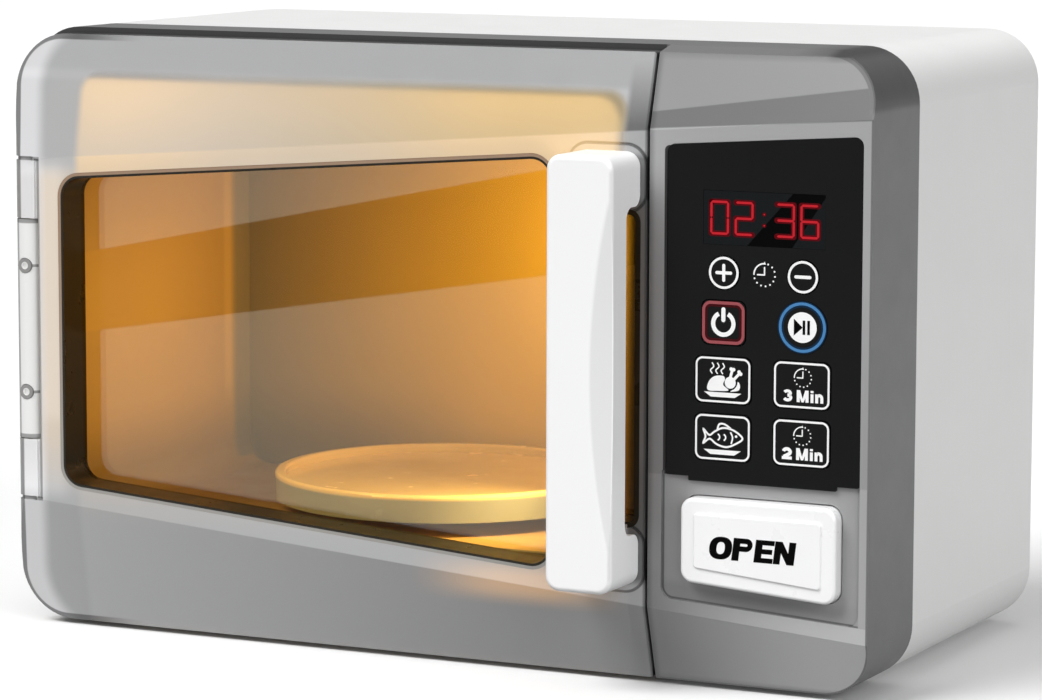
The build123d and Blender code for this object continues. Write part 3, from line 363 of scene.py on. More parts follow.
def rubberSkin(tree, look):
    place = objectPlace(tree)
    dust = noise(place, pebbles["dustSize"], 4, 0.7)
    colour = blendColour(remap(dust, 0.45, 0.8), look["colour"], look["dust"])
    pebble = shaderNode(tree, "TexVoronoi", {"Vector": place, "Scale": 1 / (pebbles["size"] * mm)})
    return principled(tree, colour, remap(dust, 0.3, 0.7, *pebbles["rough"]),
                      bump(pebble, pebbles["depth"]), {"Sheen Weight": pebbles["sheen"]})


rubbers = {
    "grey_rubber": {"colour": (0.24, 0.24, 0.24), "dust": (0.30, 0.30, 0.29)},
    "dark_rubber": {"colour": (0.028, 0.028, 0.028), "dust": (0.06, 0.06, 0.058)},
}


# The door's smoky shell lets light through; light and shade are also painted into its colour, and a
# painted gleam glows on its lower facet

doorSmoke = plastic((0.400, 0.402, 0.406), 0.02, 0.36, 0.05, 0.6, 0.008) | {
    # tones: flat and paleStrip are painted light; flatLow, facet, rim, turned, left, strip and seam are
    # painted shade; foot and line are joint lines
    "tones": {"flat": 1.16, "flatLow": 0.84, "facet": 0.60, "rim": 0.30, "turned": 0.20, "left": 0.91,
              "paleStrip": 1.25, "foot": 0.34, "strip": 0.30, "seam": 0.45, "line": 0.42},
    # the flat between the creases
    "middle": 85.0, "hingeSide": -130.0, "flatHalf": 47.9, "flatRise": 0.0785,
    # the outline of the shell, whose rolled edge by the hinge leans back
    "outline": {"side": 130.4, "half": 83.5, "corner": 15.0}, "lean": 0.487, "rollY": -51.9,
    "inner": {"side": 122.3, "half": 86.5, "corner": 19.5}, "innerSoft": 2.4,
    "innerColour": (0.66, 0.66, 0.67), "wallEnd": -100.0, "rimDepth": 1.55,
    "turned": (0.885, 0.825), "turnedLevels": (80.0, 82.0),
    # painted shade: the lower facet darkens to the right, and the flat is darker under the window
    "facetAcross": (-150.0, 35.0), "flatLow": 60.0, "paleStrip": -113.0, "leftHalf": 45.0,
    # a painted shadow in the strip beside the handle's feet, and the lines round them
    "strip": (61.0, 62.5), "stripHalf": 57.0, "seam": (65.9, 66.5),
    "foot": {"x": 55.4, "z": 50.6, "halfWidth": 5.6, "halfHeight": 3.1, "line": (5.5, 6.3)},
    # the lines round the hinge's leaves
    "knuckles": (36.6, 133.4), "hingeLine": (-121.85, -120.75), "lineHalf": 0.55,
    # painted shade above the glow and, towards the crease, to the right of it
    "glow": {"middle": -24.1, "half": 84.4, "top": 158.0, "corner": 6.0, "soft": 1.6},
    "above": (157.4, 160.0), "aboveAcross": (-100.0, 62.0), "aboveTones": (0.90, 0.80),
    "rightFrom": 60.3, "right": (140.0, 145.0), "rightLevels": (149.4, 166.5),
    "rightTones": (0.25, 0.82), "rightFlat": 0.72, "amber": (0.93, 0.76, 0.46),
    "amberAcross": (-100.0, 50.0), "amberLevels": (110.0, 125.0), "amberFlat": 0.35,
    # how much light comes through: all of it above the window, less in the middle of the width, and
    # more towards the glow's top edge and at the right of the flat
    "through": (0.92, 0.90, 0.86), "share": 0.28, "flatShare": 1.25, "window": (34.0, 60.0),
    "lowShare": 0.06, "centre": -38.0, "centreAcross": (12.0, 62.0), "centreShare": 0.66,
    "outerShare": 0.03, "leftShare": 0.56,
    "shareAcross": (-70.0, 55.0), "shares": (1.06, 0.80), "gainLevels": (100.0, 120.0),
    "gainAcross": (-40.0, 50.0), "gains": (0.72, 0.95), "topGain": 0.55, "flatAcross": (-35.0, 20.0),
    "flatGains": (1.0, 1.28),
    # a painted gleam of the lamp on the lower facet, made by emission
    "gleam": (0.30, 0.135, 0.012), "gleamX": (-6.0, 26.0, 34.0, 64.0),
    "gleamZ": (17.5, 24.0, 26.0, 33.0), "gleamBack": -51.0,
}


def smokyShell(tree, look):
    colour, roughness, normal = mouldedSurface(tree, look)
    x, y, z = axes(tree)
    height = abs(z - look["middle"])
    # the flat between the two creases, which spread towards the right, is painted lighter than the
    # facets, and lower down painted shade darkens it and the lower facet
    crease = (x - look["hingeSide"]) * look["flatRise"]
    flat = lessThan(height - crease, look["flatHalf"], 0.3)
    facets = 1.0 - flat
    below = lessThan(z, look["flatLow"], 3.0)
    colour = tonedAll(colour, look["tones"], ("flat", flat), ("flatLow", flat * below),
                      ("facet", facets * below * remap(x, *look["facetAcross"])))
    # painted light along the left, where the thick wall is seen edge-on, and painted shade on its outer
    # edge
    across = (x + (y - look["rollY"]) * look["lean"]) * -1.0
    wall = lessThan(outlineDepth(across, height, look["inner"]), 0.0, look["innerSoft"])
    colour = blendColour(wall * lessThan(x, look["wallEnd"], 3.0), colour, look["innerColour"])
    rim = lessThan(outlineDepth(across, height, look["outline"]), look["rimDepth"], 0.2)
    facing = {"Vector": shaderNode(tree, "TexCoord", output="Normal")}
    facing = abs(shaderNode(tree, "SeparateXYZ", facing, "Y"))
    # the patch that glows above the window has rounded corners; beside it painted shade darkens the
    # plastic
    glow = look["glow"]
    up = z - (glow["top"] - glow["corner"])
    beside = cornerReach(abs(x - glow["middle"]) - (glow["half"] - glow["corner"]), up)
    beside = ease(beside, glow["corner"] - glow["soft"], glow["corner"] + glow["soft"])
    atLeft = lessThan(x, glow["middle"], 1.0)
    middle = lessThan(height, look["leftHalf"] + 2, 3.0)
    foot = look["foot"]
    footReach = cornerReach(abs(x - foot["x"]) - foot["halfWidth"],
                            abs(height - foot["z"]) - foot["halfHeight"])
    strip = ease(x, *look["strip"]) * lessThan(height, look["stripHalf"], 1.5)
    leaf = lessThan(x, look["hingeLine"][1], 0.15)
    lines = [leaf * between(z, level - look["lineHalf"], level + look["lineHalf"], 0.15)
             for level in look["knuckles"]]
    lines.append(between(x, *look["hingeLine"], 0.15) * between(z, *look["knuckles"], 0.2))
    # painted shade on the outline, the turned edge, beside the glow, in the strip by the handle and at
    # the seam; painted light on the pale strip at the left
    colour = tonedAll(
        colour, look["tones"], ("rim", rim * lessThan(x, look["wallEnd"], 12.0)),
        ("turned", remap(facing, *look["turned"]) * remap(height, *look["turnedLevels"])),
        ("left", beside * atLeft * (lessThan(up, 4.0, 1.0) * (1.0 - middle))),
        ("paleStrip", lessThan(x, look["paleStrip"], 3.0) * middle),
        ("foot", between(footReach, *foot["line"], 0.12)), ("strip", strip),
        ("seam", ease(x, *look["seam"])),
        *(("line", line) for line in lines))
    # painted shade above the glow and to the right of it
    leftOfEdge = lessThan(x, look["rightFrom"], 1.2)
    aboveTone = remap(x, *look["aboveAcross"], *look["aboveTones"])
    rightTone = remap(z, *look["rightLevels"], *look["rightTones"]) * facets + flat * look["rightFlat"]
    for mask, tone in ((ease(z, *look["above"]) * leftOfEdge, aboveTone),
                       ((1.0 - leftOfEdge) * ease(z, *look["right"]), rightTone)):
        colour = tintedBy(colour, 1.0 - mask + mask * tone)
    # a painted amber tint of the glow's light
    warm = ease(x, *look["amberAcross"]) * (1.0 - beside) * ease(z, *look["amberLevels"])
    colour = blendColour(warm * share(flat, look["amberFlat"]), colour, look["amber"], "MULTIPLY")
    body = principled(tree, colour, roughness, normal)

    centre = ease(abs(x - look["centre"]), *look["centreAcross"], look["centreShare"], 1.0)
    outside = lessThan(height, look["leftHalf"], 3.0)
    outside = remap(outside, 0, 1, look["outerShare"], look["leftShare"])
    held = 1.0 - beside + beside * outside * atLeft
    passed = (ease(z, *look["window"], look["lowShare"], 1.0) * centre * held
              * remap(x, *look["shareAcross"], *look["shares"]) * share(flat, look["flatShare"]))
    climb = remap(z, crease + (look["middle"] + look["flatHalf"]), glow["top"])
    gain = ((remap(x, *look["gainAcross"], *look["gains"]) + climb * look["topGain"]) * facets
            + remap(x, *look["flatAcross"], *look["flatGains"]) * flat)
    gained = ease(z, *look["gainLevels"])
    passed = passed * (1.0 - gained + gain * gained) * look["share"]
    through = shaderNode(tree, "BsdfTranslucent", {"Color": look["through"], "Normal": normal})
    both = shaderNode(tree, "MixShader", {0: passed, 1: body, 2: through})
    # the painted gleam: an emission where the lamp's light falls on the lower facet
    gleam = hump(x, look["gleamX"]) * hump(z, look["gleamZ"]) * lessThan(y, look["gleamBack"], 0.5)
    spot = shaderNode(tree, "Emission", {"Color": look["gleam"], "Strength": gleam})
    return shaderNode(tree, "AddShader", {0: both, 1: spot})


# The fixed leaf of the hinge, with grey lines at its ends and beside it, painted shade along its far left
# edge, and its screws' light rings

hingeLook = plastic((0.80, 0.80, 0.79), 0.015, 0.36, 0.05, 0.5, 0.008) | {
    "tones": {"line": 0.38, "rim": 0.36, "ring": 0.40}, "middle": 85.0, "end": (29.9, 30.2),
    "right": (-122.45, -122.15), "rimFrom": -127.9, "screwHalf": 18.0, "screwX": -125.9, "tail": 0.40,
    "ring": 2.15,
}


def fromScrews(x, z):
    # across and up from the nearer of the hinge's two screws
    return x - hingeLook["screwX"], abs(z - hingeLook["middle"]) - hingeLook["screwHalf"]


def hingeWhite(look, colour, x, y, z):
    across, up = fromScrews(x, z)
    tail = between(up, -look["tail"], look["tail"], 0.1) * remap(across, 0, 0.3)
    # the rim is painted shade where the leaf rounds away at its left edge
    return tonedAll(colour, look["tones"], ("line", remap(abs(z - look["middle"]), *look["end"])),
                    ("line", remap(x, *look["right"])), ("rim", lessThan(x, look["rimFrom"], 0.2)),
                    ("line", tail), ("ring", lessThan(distance(across, up), look["ring"], 0.15)))


# The cavity's liner, with light and shade painted into its colour: its back wall is painted greyer at the
# left and amber towards the lamp, a painted highlight runs down the left wall beside the corner, and
# painted shade darkens it low down at the left

linerLook = plastic((0.52, 0.37, 0.20), 0.05, 0.38, 0.06, 0.6, 0.01) | {
    "leftColour": (0.275, 0.25, 0.27), "rightColour": (0.70, 0.53, 0.145), "blend": (-124.0, -38.0),
    "wall": -118.0, "bend": (50.0, 54.5), "back": (59.5, 60.5), "bead": (45.0, 48.0, 49.5, 52.0),
    "beadFoot": (46.0, 62.0), "beadColour": (0.95, 0.72, 0.42), "beadShare": 0.22, "lowTone": 0.55,
    "low": (60.0, 34.0), "lowAcross": (-30.0, -90.0),
}


def linerPlastic(look, colour, x, y, z):
    side = lessThan(x, look["wall"], 0.5)
    back = larger(side * ease(y, *look["bend"]), remap(y, *look["back"]))
    # painted light: the back wall grows amber towards the lamp
    wall = blendColour(ease(x, *look["blend"]), look["leftColour"], look["rightColour"])
    # a painted highlight down the left wall beside the corner
    bead = hump(y, look["bead"]) * side * ease(z, *look["beadFoot"])
    colour = blendColour(bead * look["beadShare"], blendColour(back, colour, wall), look["beadColour"])
    # painted shade low down at the left
    return toned(colour, ease(z, *look["low"]) * ease(x, *look["lowAcross"]), look["lowTone"])


# The turntable plate: cream on top, with its wall below the lip painted a cooler grey as shade from the
# lamp's warm light

plateLook = plastic((0.80, 0.66, 0.44), 0.03, 0.24, 0.05, 0.7, 0.004, coat=0.3, coatRough=0.1) | {
    "centre": (-25.5, 9.05), "wall": (47.3, 47.9), "lipLevel": 41.6, "wallColour": (0.27, 0.30, 0.36),
}


def creamPlate(look, colour, x, y, z):
    reach = distance(x - look["centre"][0], y - look["centre"][1])
    # painted shade: the wall below the lip takes a cool grey
    wall = remap(reach, *look["wall"]) * lessThan(z, look["lipLevel"], 0.4)
    return blendColour(wall, colour, look["wallColour"])


# The handle: glossy white, with painted shade in the finger scoop

handleLook = plastic((0.885, 0.885, 0.89), 0.008, 0.34, 0.04, 0.6, 0.003, wave=0.008) | {
    "scoop": (-73.98, -73.81, -71.5, -71.0), "across": (56.0, 64.7), "middle": 85.0, "half": 54.0,
    "scoopTone": 0.84,
}


def handlePlastic(look, colour, x, y, z):
    hollow = hump(y, look["scoop"]) * between(x, *look["across"], 0.15)
    hollow = hollow * lessThan(abs(z - look["middle"]), look["half"], 1.0)
    # painted shade in the finger scoop
    return toned(colour, hollow, look["scoopTone"])


ringedScrew = {"ring": (0.26, 0.255, 0.25), "heart": (0.86, 0.86, 0.85), "heartRadius": 1.05,
               "rough": 0.35, "metallic": 0.25}


def ringedHead(tree, look):
    x, _, z = axes(tree)
    heart = lessThan(distance(*fromScrews(x, z)), look["heartRadius"], 0.12)
    colour = blendColour(heart, look["ring"], look["heart"])
    return principled(tree, colour, look["rough"], more={"Metallic": look["metallic"]})


# The clear amber pane: a tint, a thin gloss, and a slanting streak where the gloss is weaker, a painted
# reflection band

amberGlass = {
    "tint": (0.985, 0.87, 0.60), "edgeTint": (0.035, 0.038, 0.030), "edge": (53.0, 60.0),
    "gloss": 0.052, "streakGloss": 0.004, "rough": 0.06,
    # the streak's lower and upper edge, as the height at the pane's left and the rise along X
    "streakLow": (83.5, 0.1625), "streakHigh": (106.2, 0.203), "streakLeft": -113.8,
}


def tintedPane(tree, look):
    x, _, z = axes(tree)
    low, high = (aboveLine(x, z, look["streakLeft"], look[line], 0.4)
                 for line in ("streakLow", "streakHigh"))
    # a painted reflection: the gloss is weaker in the streak
    glossShare = remap(low - high, 0, 1, look["gloss"], look["streakGloss"])
    tint = blendColour(ease(x, *look["edge"]), look["tint"], look["edgeTint"])
    clear = shaderNode(tree, "BsdfTransparent", {"Color": tint})
    gloss = shaderNode(tree, "BsdfGlossy", {"Color": (1, 1, 1), "Roughness": look["rough"]})
    return shaderNode(tree, "MixShader", {0: glossShare, 1: clear, 2: gloss})


# The display's lens: dark smoke, darker still in a slanting band

displaySmoke = {
    "colour": (0.0085, 0.010, 0.011), "bandColour": (0.0006, 0.0006, 0.0007), "specular": 0.03,
    "speckSize": 1.5, "rough": (0.1, 0.16),
    # the band's sides, at its foot and its top
    "foot": 119.3, "rise": 14.4, "left": (95.2, 108.3), "right": (107.9, 117.8),
}


def smokyLens(tree, look):
    x, _, z = axes(tree)
    up = z - look["foot"]
    sides = []
    for low, high in (look["left"], look["right"]):
        line = up * ((high - low) / look["rise"]) + low
        sides.append(remap(x - line, -0.1, 0.1))
    colour = blendColour(sides[0] - sides[1], look["colour"], look["bandColour"])
    speck = noise(objectPlace(tree), look["speckSize"], 3)
    return principled(tree, colour, remap(speck, 0.3, 0.7, *look["rough"]),
                      more={"Specular IOR Level": look["specular"]})


# Lamp: a glowing diode behind a frosted lens

lampLook = {"lens": ((0.92, 0.8, 0.6), (1.0, 0.9, 0.72)), "lensGlow": (1.0, 0.72, 0.38),
            "lensStrength": 1.4, "ledGlow": (1.0, 0.62, 0.25), "ledStrength": 6.0}


def frostedLens(tree, look):
    frost = noise(objectPlace(tree), 0.6, 3)
    roughness = remap(frost, 0.2, 0.8, 0.45, 0.65)
    return principled(tree, blendColour(frost, *look["lens"]), roughness, bump(frost, 0.03), {
        "Emission Color": look["lensGlow"], "Emission Strength": look["lensStrength"]})


def lampDiode(tree, look):
    core = noise(objectPlace(tree), 1.2, 2)
    glow = blendColour(core, shade(look["ledGlow"], 0.8), look["ledGlow"])
    return principled(tree, glow, 0.2, more={
        "Emission Color": glow, "Emission Strength": look["ledStrength"]})


# Circuit board: solder mask over copper tracks

boardLook = {"mask": (0.010, 0.090, 0.035), "track": (0.020, 0.150, 0.060), "trackPitch": 2.4,
             "rough": (0.25, 0.4), "smearSize": 4, "trackDepth": 0.03}


def solderMask(tree, look):
    place = objectPlace(tree)
    scale = 1 / (look["trackPitch"] * mm)
    cells = shaderNode(tree, "TexVoronoi", {"Vector": place, "Scale": scale}, distance="MANHATTAN")
    track = remap(cells, 0.42, 0.5)
    roughness = remap(noise(place, look["smearSize"], 3), 0.3, 0.7, *look["rough"])
    colour = blendColour(track, look["mask"], look["track"])
    return principled(tree, colour, roughness, bump(track, look["trackDepth"]))


# Battery jackets: a plain two-colour wrap with bare steel at the ends

cellLook = {"wrap": (0.045, 0.20, 0.15), "band": (0.62, 0.63, 0.62), "from": (102.95, 103.05),
            "to": (116.05, 115.95), "crinkleSize": 2.5, "crinkleDepth": 0.02, "rough": (0.22, 0.36)}


def cellWrap(tree, look):
    x = axes(tree)[0]
    colour = blendColour(remap(x, *look["from"]) * remap(x, *look["to"]), look["wrap"], look["band"])
    crinkle = noise(objectPlace(tree), look["crinkleSize"], 4)
    return principled(tree, colour, remap(crinkle, 0.3, 0.7, *look["rough"]),
                      bump(crinkle, look["crinkleDepth"]))


# Printing inks, and the digits' glow

def ink(tree, colour, rough=0.45, specular=0.5):
    speck = noise(objectPlace(tree), 0.35, 3)
    tone = blendColour(speck, shade(colour, 0.93), colour)
    roughness = remap(speck, 0.3, 0.7, rough - 0.06, rough + 0.06)
    return principled(tree, tone, roughness, more={"Specular IOR Level": specular})


def litInk(tree, colour, strength):
    cell = noise(objectPlace(tree), 0.7, 2)
    glow = blendColour(cell, shade(colour, 0.75), colour)
    return principled(tree, shade(colour, 0.3), 0.4, more={
        "Emission Color": glow, "Emission Strength": strength, "Specular IOR Level": 0.05})


slotMaterials = {name: newMaterial(name, build, look)
                 for build, looks in ((moulded, mouldings), (drawnMetal, metals), (rubberSkin, rubbers))
                 for name, look in looks.items()}
slotMaterials["bezel_grey"] = newMaterial("bezel_grey", moulded, bezelLook, bezelPaintedLightAndShade)
for slot, build, look in (
        ("smoke_shell", smokyShell, doorSmoke), ("amber_pane", tintedPane, amberGlass),
        ("smoke_lens", smokyLens, displaySmoke), ("frosted_lens", frostedLens, lampLook),
        ("amber_lamp", lampDiode, lampLook), ("board_green", solderMask, boardLook),
        ("cell_jacket", cellWrap, cellLook)):
    slotMaterials[slot] = newMaterial(slot, build, look)
inks = {
    "white": newMaterial("white_ink", ink, (0.93, 0.93, 0.93)),
    "red": newMaterial("red_ink", ink, (0.30, 0.058, 0.068)),
    "redHalo": newMaterial("red_halo_ink", ink, (0.050, 0.004, 0.006), 0.45, 0.05),
    "blue": newMaterial("blue_ink", ink, (0.050, 0.20, 0.44)),
    "blueHalo": newMaterial("blue_halo_ink", ink, (0.006, 0.022, 0.050), 0.45, 0.05),
    "black": newMaterial("black_ink", ink, (0.0012, 0.0012, 0.0012), 0.45, 0.03),
    "display": newMaterial("display_red", litInk, (0.46, 0.016, 0.024), 0.95),
    "displayHalo": newMaterial("display_halo", litInk, (0.12, 0.002, 0.006), 0.5),
}

for part in frame["record"]["subparts"]:
    nodes[part["node"]].data.materials[0] = slotMaterials[part["material_slot"]]
nodes["hinge_screws"].data.materials[0] = newMaterial("ringed_screw", ringedHead, ringedScrew)
for node, name, look, paint in (
        ("hinge_block", "hinge_white", hingeLook, hingeWhite),
        ("cavity_liner", "liner_amber", linerLook, linerPlastic),
        ("turntable_plate", "plate_cream", plateLook, creamPlate),
        ("handle", "handle_white", handleLook, handlePlastic)):
    nodes[node].data.materials[0] = newMaterial(name, moulded, look, paint)
print("materials made:", len(slotMaterials) + len(inks))


# Flat prints. A shape is a list of corner loops in X and Z

def arcPoints(x, z, radius, start, end, steps, rise=None):
    # Angles in degrees, anticlockwise from +X. rise is the radius along Z, where it differs
    turns = [radians(start + (end - start) * i / steps) for i in range(steps + 1)]
    return [(x + radius * cos(a), z + (rise or radius) * sin(a)) for a in turns]


def stroke(path, width, closed=False):
    # A line of even width along the path, mitred at its corners, as one patch for each step
    spots = [Vector(p) for p in path]
    sides = []
    for i, spot in enumerate(spots):
        before = spots[i - 1] if closed or i else None
        after = spots[(i + 1) % len(spots)] if closed or i < len(spots) - 1 else None
        coming = (spot - before).normalized() if before is not None else (after - spot).normalized()
        going = (after - spot).normalized() if after is not None else coming
        along = (coming + going).normalized()
        across = Vector((-along.y, along.x)) * (width / 2 / max(along.dot(coming), 0.4))
        sides.append((spot + across, spot - across))
    pairs = list(zip(sides, sides[1:] + sides[:1] if closed else sides[1:]))
    return [[tuple(a[0]), tuple(b[0]), tuple(b[1]), tuple(a[1])] for a, b in pairs]


def ring(radius, width):
    # radius is the ring's outer one
    return stroke(arcPoints(0, 0, radius - width / 2, 0, 360, 56)[:-1], width, closed=True)


def disc(x, z, radius, steps=40):
    return [arcPoints(x, z, radius, 0, 360, steps)[:-1]]


def bar(x0, z0, x1, z1, width):
    # A straight line with round ends
    turn = degrees(atan2(z1 - z0, x1 - x0))
    return [arcPoints(x1, z1, width / 2, turn - 90, turn + 90, 8)
            + arcPoints(x0, z0, width / 2, turn + 90, turn + 270, 8)]


def roundedFrame(width, height, corner, line):
    path = []
    for sx, sz, start in ((1, 1, 0), (-1, 1, 90), (-1, -1, 180), (1, -1, 270)):
        centre = sx * (width / 2 - corner), sz * (height / 2 - corner)
        path += arcPoints(*centre, corner - line / 2, start, start + 90, 7)
    return stroke(path, line, closed=True)


def smoothLoop(points, steps=6, closed=True):
    # A curve through the points
    count = len(points)
    path = []
    for i in range(count if closed else count - 1):
        near = [(i + k) % count if closed else min(max(i + k, 0), count - 1) for k in (-1, 0, 1, 2)]
        a, b, c, d = (Vector(points[k]) for k in near)
        for step in range(steps):
            t = step / steps
            spot = (b * 2 + (c - a) * t + (a * 2 - b * 5 + c * 4 - d) * t * t
                    + (b * 3 - a - c * 3 + d) * t * t * t) / 2
            path.append(tuple(spot))
    return path if closed else path + [tuple(points[-1])]


def settle(piece):
    # The finished mesh takes the place of the piece's modifiers
    bpy.context.view_layer.update()
    shown = piece.evaluated_get(bpy.context.evaluated_depsgraph_get())
    mesh = bpy.data.meshes.new_from_object(shown)
    piece.modifiers.clear()
    piece.data = mesh
    return piece


def linked(name, data):
    piece = bpy.data.objects.new(name, data)
    bpy.context.scene.collection.objects.link(piece)
    return piece


def carry(piece, body, material):
    piece.data.materials.clear()
    piece.data.materials.append(material)
    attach(piece, body)
    return piece


inkDepth = 0.03
inkStep = 0.004  # overlapping patches stand at slightly different heights


def printOn(name, shapes, front, body, colour, depth=inkDepth):
    # front is the printed face's Y. Each patch is a closed slip that stands about depth proud of it
    mesh = bpy.data.meshes.new(name)
    sheet = bmesh.new()
    for i, loop in enumerate(shapes):
        area = sum(ax * bz - bx * az for (ax, az), (bx, bz) in zip(loop, loop[1:] + loop[:1]))
        loop = loop if area > 0 else loop[::-1]
        face = front - depth - i % 5 * inkStep
        fore = [sheet.verts.new((x * mm, face * mm, z * mm)) for x, z in loop]
        rear = [sheet.verts.new((x * mm, front * mm, z * mm)) for x, z in loop]
        sheet.faces.new(fore)
        sheet.faces.new(rear[::-1])
        for k in range(len(loop)):
            sheet.faces.new((fore[k - 1], rear[k - 1], rear[k], fore[k]))
    sheet.to_mesh(mesh)
    sheet.free()
    return carry(linked(name, mesh), body, inks[colour])


def letterShapes(letter, x, width, height, stem, beam):
    # A heavy letter or figure standing on z = 0 with its left side at x. stem is the width of its
    # upright strokes and beam that of its level ones
    right, top = x + width, height
    half, middle = stem / 2, x + width / 2

    def level(z, start=x, end=right):
        return stroke([(start, z), (end, z)], beam)

    def post(left, low=0.0, high=top):
        return [(left, low), (left + stem, low), (left + stem, high), (left, high)]

    if letter == "O":
        rise = height / 2
        outer, inner = [], []
        for i in range(36):
            spot = cos(radians(i * 10)), sin(radians(i * 10))
            cx, cz = (abs(c) ** 0.82 * (1 if c > 0 else -1) for c in spot)  # a squarish oval
            outer.append((middle + width / 2 * cx, rise + rise * cz))
            inner.append((middle + (width / 2 - stem) * cx, rise + (rise - beam) * cz))
        return [[outer[i - 1], outer[i], inner[i], inner[i - 1]] for i in range(36)]
    if letter == "P":
        bowl = height * 0.58
        radius = (bowl - beam) / 2
        turn = arcPoints(right - radius - half, top - beam / 2 - radius, radius, 90, -90, 10)
        return [post(x)] + stroke(
            [(x + stem * 0.9, top - beam / 2)] + turn + [(x + stem * 0.9, top - bowl + beam / 2)], beam)
    if letter == "E":
        arms = ((top - beam / 2, 0), (height / 2, stem * 0.2), (beam / 2, 0))
        return [post(x)] + [patch for z, short in arms
                            for patch in level(z, x + stem * 0.9, right - short)]
    if letter == "N":
        return [post(x), post(right - stem),
                [(x, top), (x + stem * 1.05, top), (right, 0), (right - stem * 1.05, 0)]]
    if letter == "M":
        foot = [(middle + half * 0.7, 0), (middle - half * 0.7, 0)]
        return [post(x), post(right - stem), [(x, top), (x + stem * 1.1, top)] + foot,
                [(right, top), (right - stem * 1.1, top)] + foot[::-1]]
    if letter == "i":
        return [post(x, 0, height * 0.72), post(x, height * 0.82)]
    if letter == "n":
        low = height * 0.74
        radius = (width - stem) / 2
        arch = arcPoints(x + half + radius, low - radius - beam / 2, radius, 180, 0, 12)
        return [post(x, 0, low)] + stroke(arch + [(right - half, 0)], stem)
    reach = width / 2 - half
    if letter == "2":
        crook = arcPoints(middle, top - half * 0.9 - height * 0.24, reach, 170, -38, 14, height * 0.24)
        return stroke(crook + [(x + half * 1.1, beam * 0.8)], stem) + level(beam / 2)
    upper, lower = height * 0.175, height * 0.205  # what is left is the figure 3
    high = arcPoints(middle, top - half * 0.85 - upper, reach * 0.9, 160, -88, 12, upper)
    low = arcPoints(middle, half * 0.85 + lower, reach, 88, -160, 14, lower)
    return stroke(high, stem * 0.85) + stroke(low, stem * 0.9)


def word(letters, x, z, height, slant=0.0):
    # letters is a list of (letter, left side, width, stem, beam), each measured from the word's left
    shapes = []
    for letter, left, width, stem, beam in letters:
        for loop in letterShapes(letter, left, width, height, stem, beam):
            shapes.append([(x + px + pz * slant, z + pz) for px, pz in loop])
    return shapes


# Geometry Nodes: the dots round a clock face

def dotRingTree():
    tree = bpy.data.node_groups.new("dotRing", "GeometryNodeTree")
    sockets = {}
    for name, kind in (("Centre", "Vector"), ("Radius", "Float"), ("Start", "Float"),
                       ("Sweep", "Float"), ("Dots", "Int"), ("Dot Radius", "Float"),
                       ("Depth", "Float"), ("Ink", "Material")):
        item = tree.interface.new_socket(name, in_out="INPUT", socket_type="NodeSocket" + kind)
        sockets[name] = item.identifier
    tree.interface.new_socket("Geometry", in_out="OUTPUT", socket_type="NodeSocketGeometry")
    given = tree.nodes.new("NodeGroupInput")
    arc, dot, spread, stand, solid, coat = (tree.nodes.new("GeometryNode" + kind) for kind in (
        "CurveArc", "MeshCylinder", "InstanceOnPoints", "Transform", "RealizeInstances", "SetMaterial"))
    out = tree.nodes.new("NodeGroupOutput")
    dot.inputs["Vertices"].default_value = 10
    stand.inputs["Rotation"].default_value = (radians(90), 0, 0)
    for source, output, target, entry in (
            (given, "Radius", arc, "Radius"), (given, "Start", arc, "Start Angle"),
            (given, "Sweep", arc, "Sweep Angle"), (given, "Dots", arc, "Resolution"),
            (given, "Dot Radius", dot, "Radius"), (given, "Depth", dot, "Depth"),
            (arc, "Curve", spread, "Points"), (dot, "Mesh", spread, "Instance"),
            (spread, "Instances", stand, "Geometry"), (given, "Centre", stand, "Translation"),
            (stand, "Geometry", solid, "Geometry"), (solid, "Geometry", coat, "Geometry"),
            (given, "Ink", coat, "Material"), (coat, "Geometry", out, "Geometry")):
        tree.links.new(source.outputs[output], target.inputs[entry])
    return tree, sockets


dotRing = dotRingTree()
clockFace = {"dots": 10, "start": -160, "sweep": 230, "dotShare": 0.085, "arc": (88, 182),
             "hand": 0.66, "line": 0.13, "pointer": (0.92, 1.18)}


def clockOn(name, x, z, radius, front, body):
    # A ring that is a line from 9 to 12 o'clock and dots the rest of the way, with two hands and
    # a pointer
    look = clockFace
    tree, sockets = dotRing
    piece = linked(name + "Dots", bpy.data.meshes.new(name + "Dots"))
    dots = piece.modifiers.new("dots", "NODES")
    dots.node_group = tree
    for key, value in {
            "Centre": (x * mm, (front - inkDepth / 2) * mm, z * mm), "Radius": radius * mm,
            "Start": radians(look["start"]), "Sweep": radians(look["sweep"]), "Dots": look["dots"],
            "Dot Radius": look["dotShare"] * radius * mm, "Depth": inkDepth * mm,
            "Ink": inks["white"]}.items():
        dots[sockets[key]] = value
    carry(settle(piece), body, inks["white"])
    width, hand = look["line"] * radius, look["hand"] * radius
    foot, tip = (z + share * radius for share in look["pointer"])
    shapes = stroke(arcPoints(x, z, radius, *look["arc"], 16), width)
    shapes += bar(x, z, x, z + hand, width) + bar(x, z, x - hand, z, width)
    shapes += [[(x - width, foot), (x + width, foot), (x, tip)]]
    return printOn(name, shapes, front, body, "white")


# The key panel's prints

keyFront = -56.25
fasciaFront = -56.0
haloDepth = 0.008
leftColumn, rightColumn = 88.925, 111.125
keyPlaces = {
    "plus": (leftColumn, 112.0), "minus": (rightColumn, 112.0), "power": (leftColumn, 98.9),
    "start": (rightColumn, 98.9), "roast": (leftColumn, 83.8), "three_minute": (rightColumn, 83.8),
    "fish": (leftColumn, 68.6), "two_minute": (rightColumn, 68.6),
}
keyFrame = roundedFrame(width=15.5, height=11.9, corner=2.0, line=0.52)
servingPlate = [[(-5.3, -3.25), (5.3, -3.25), (3.4, -4.5), (-3.4, -4.5)]]


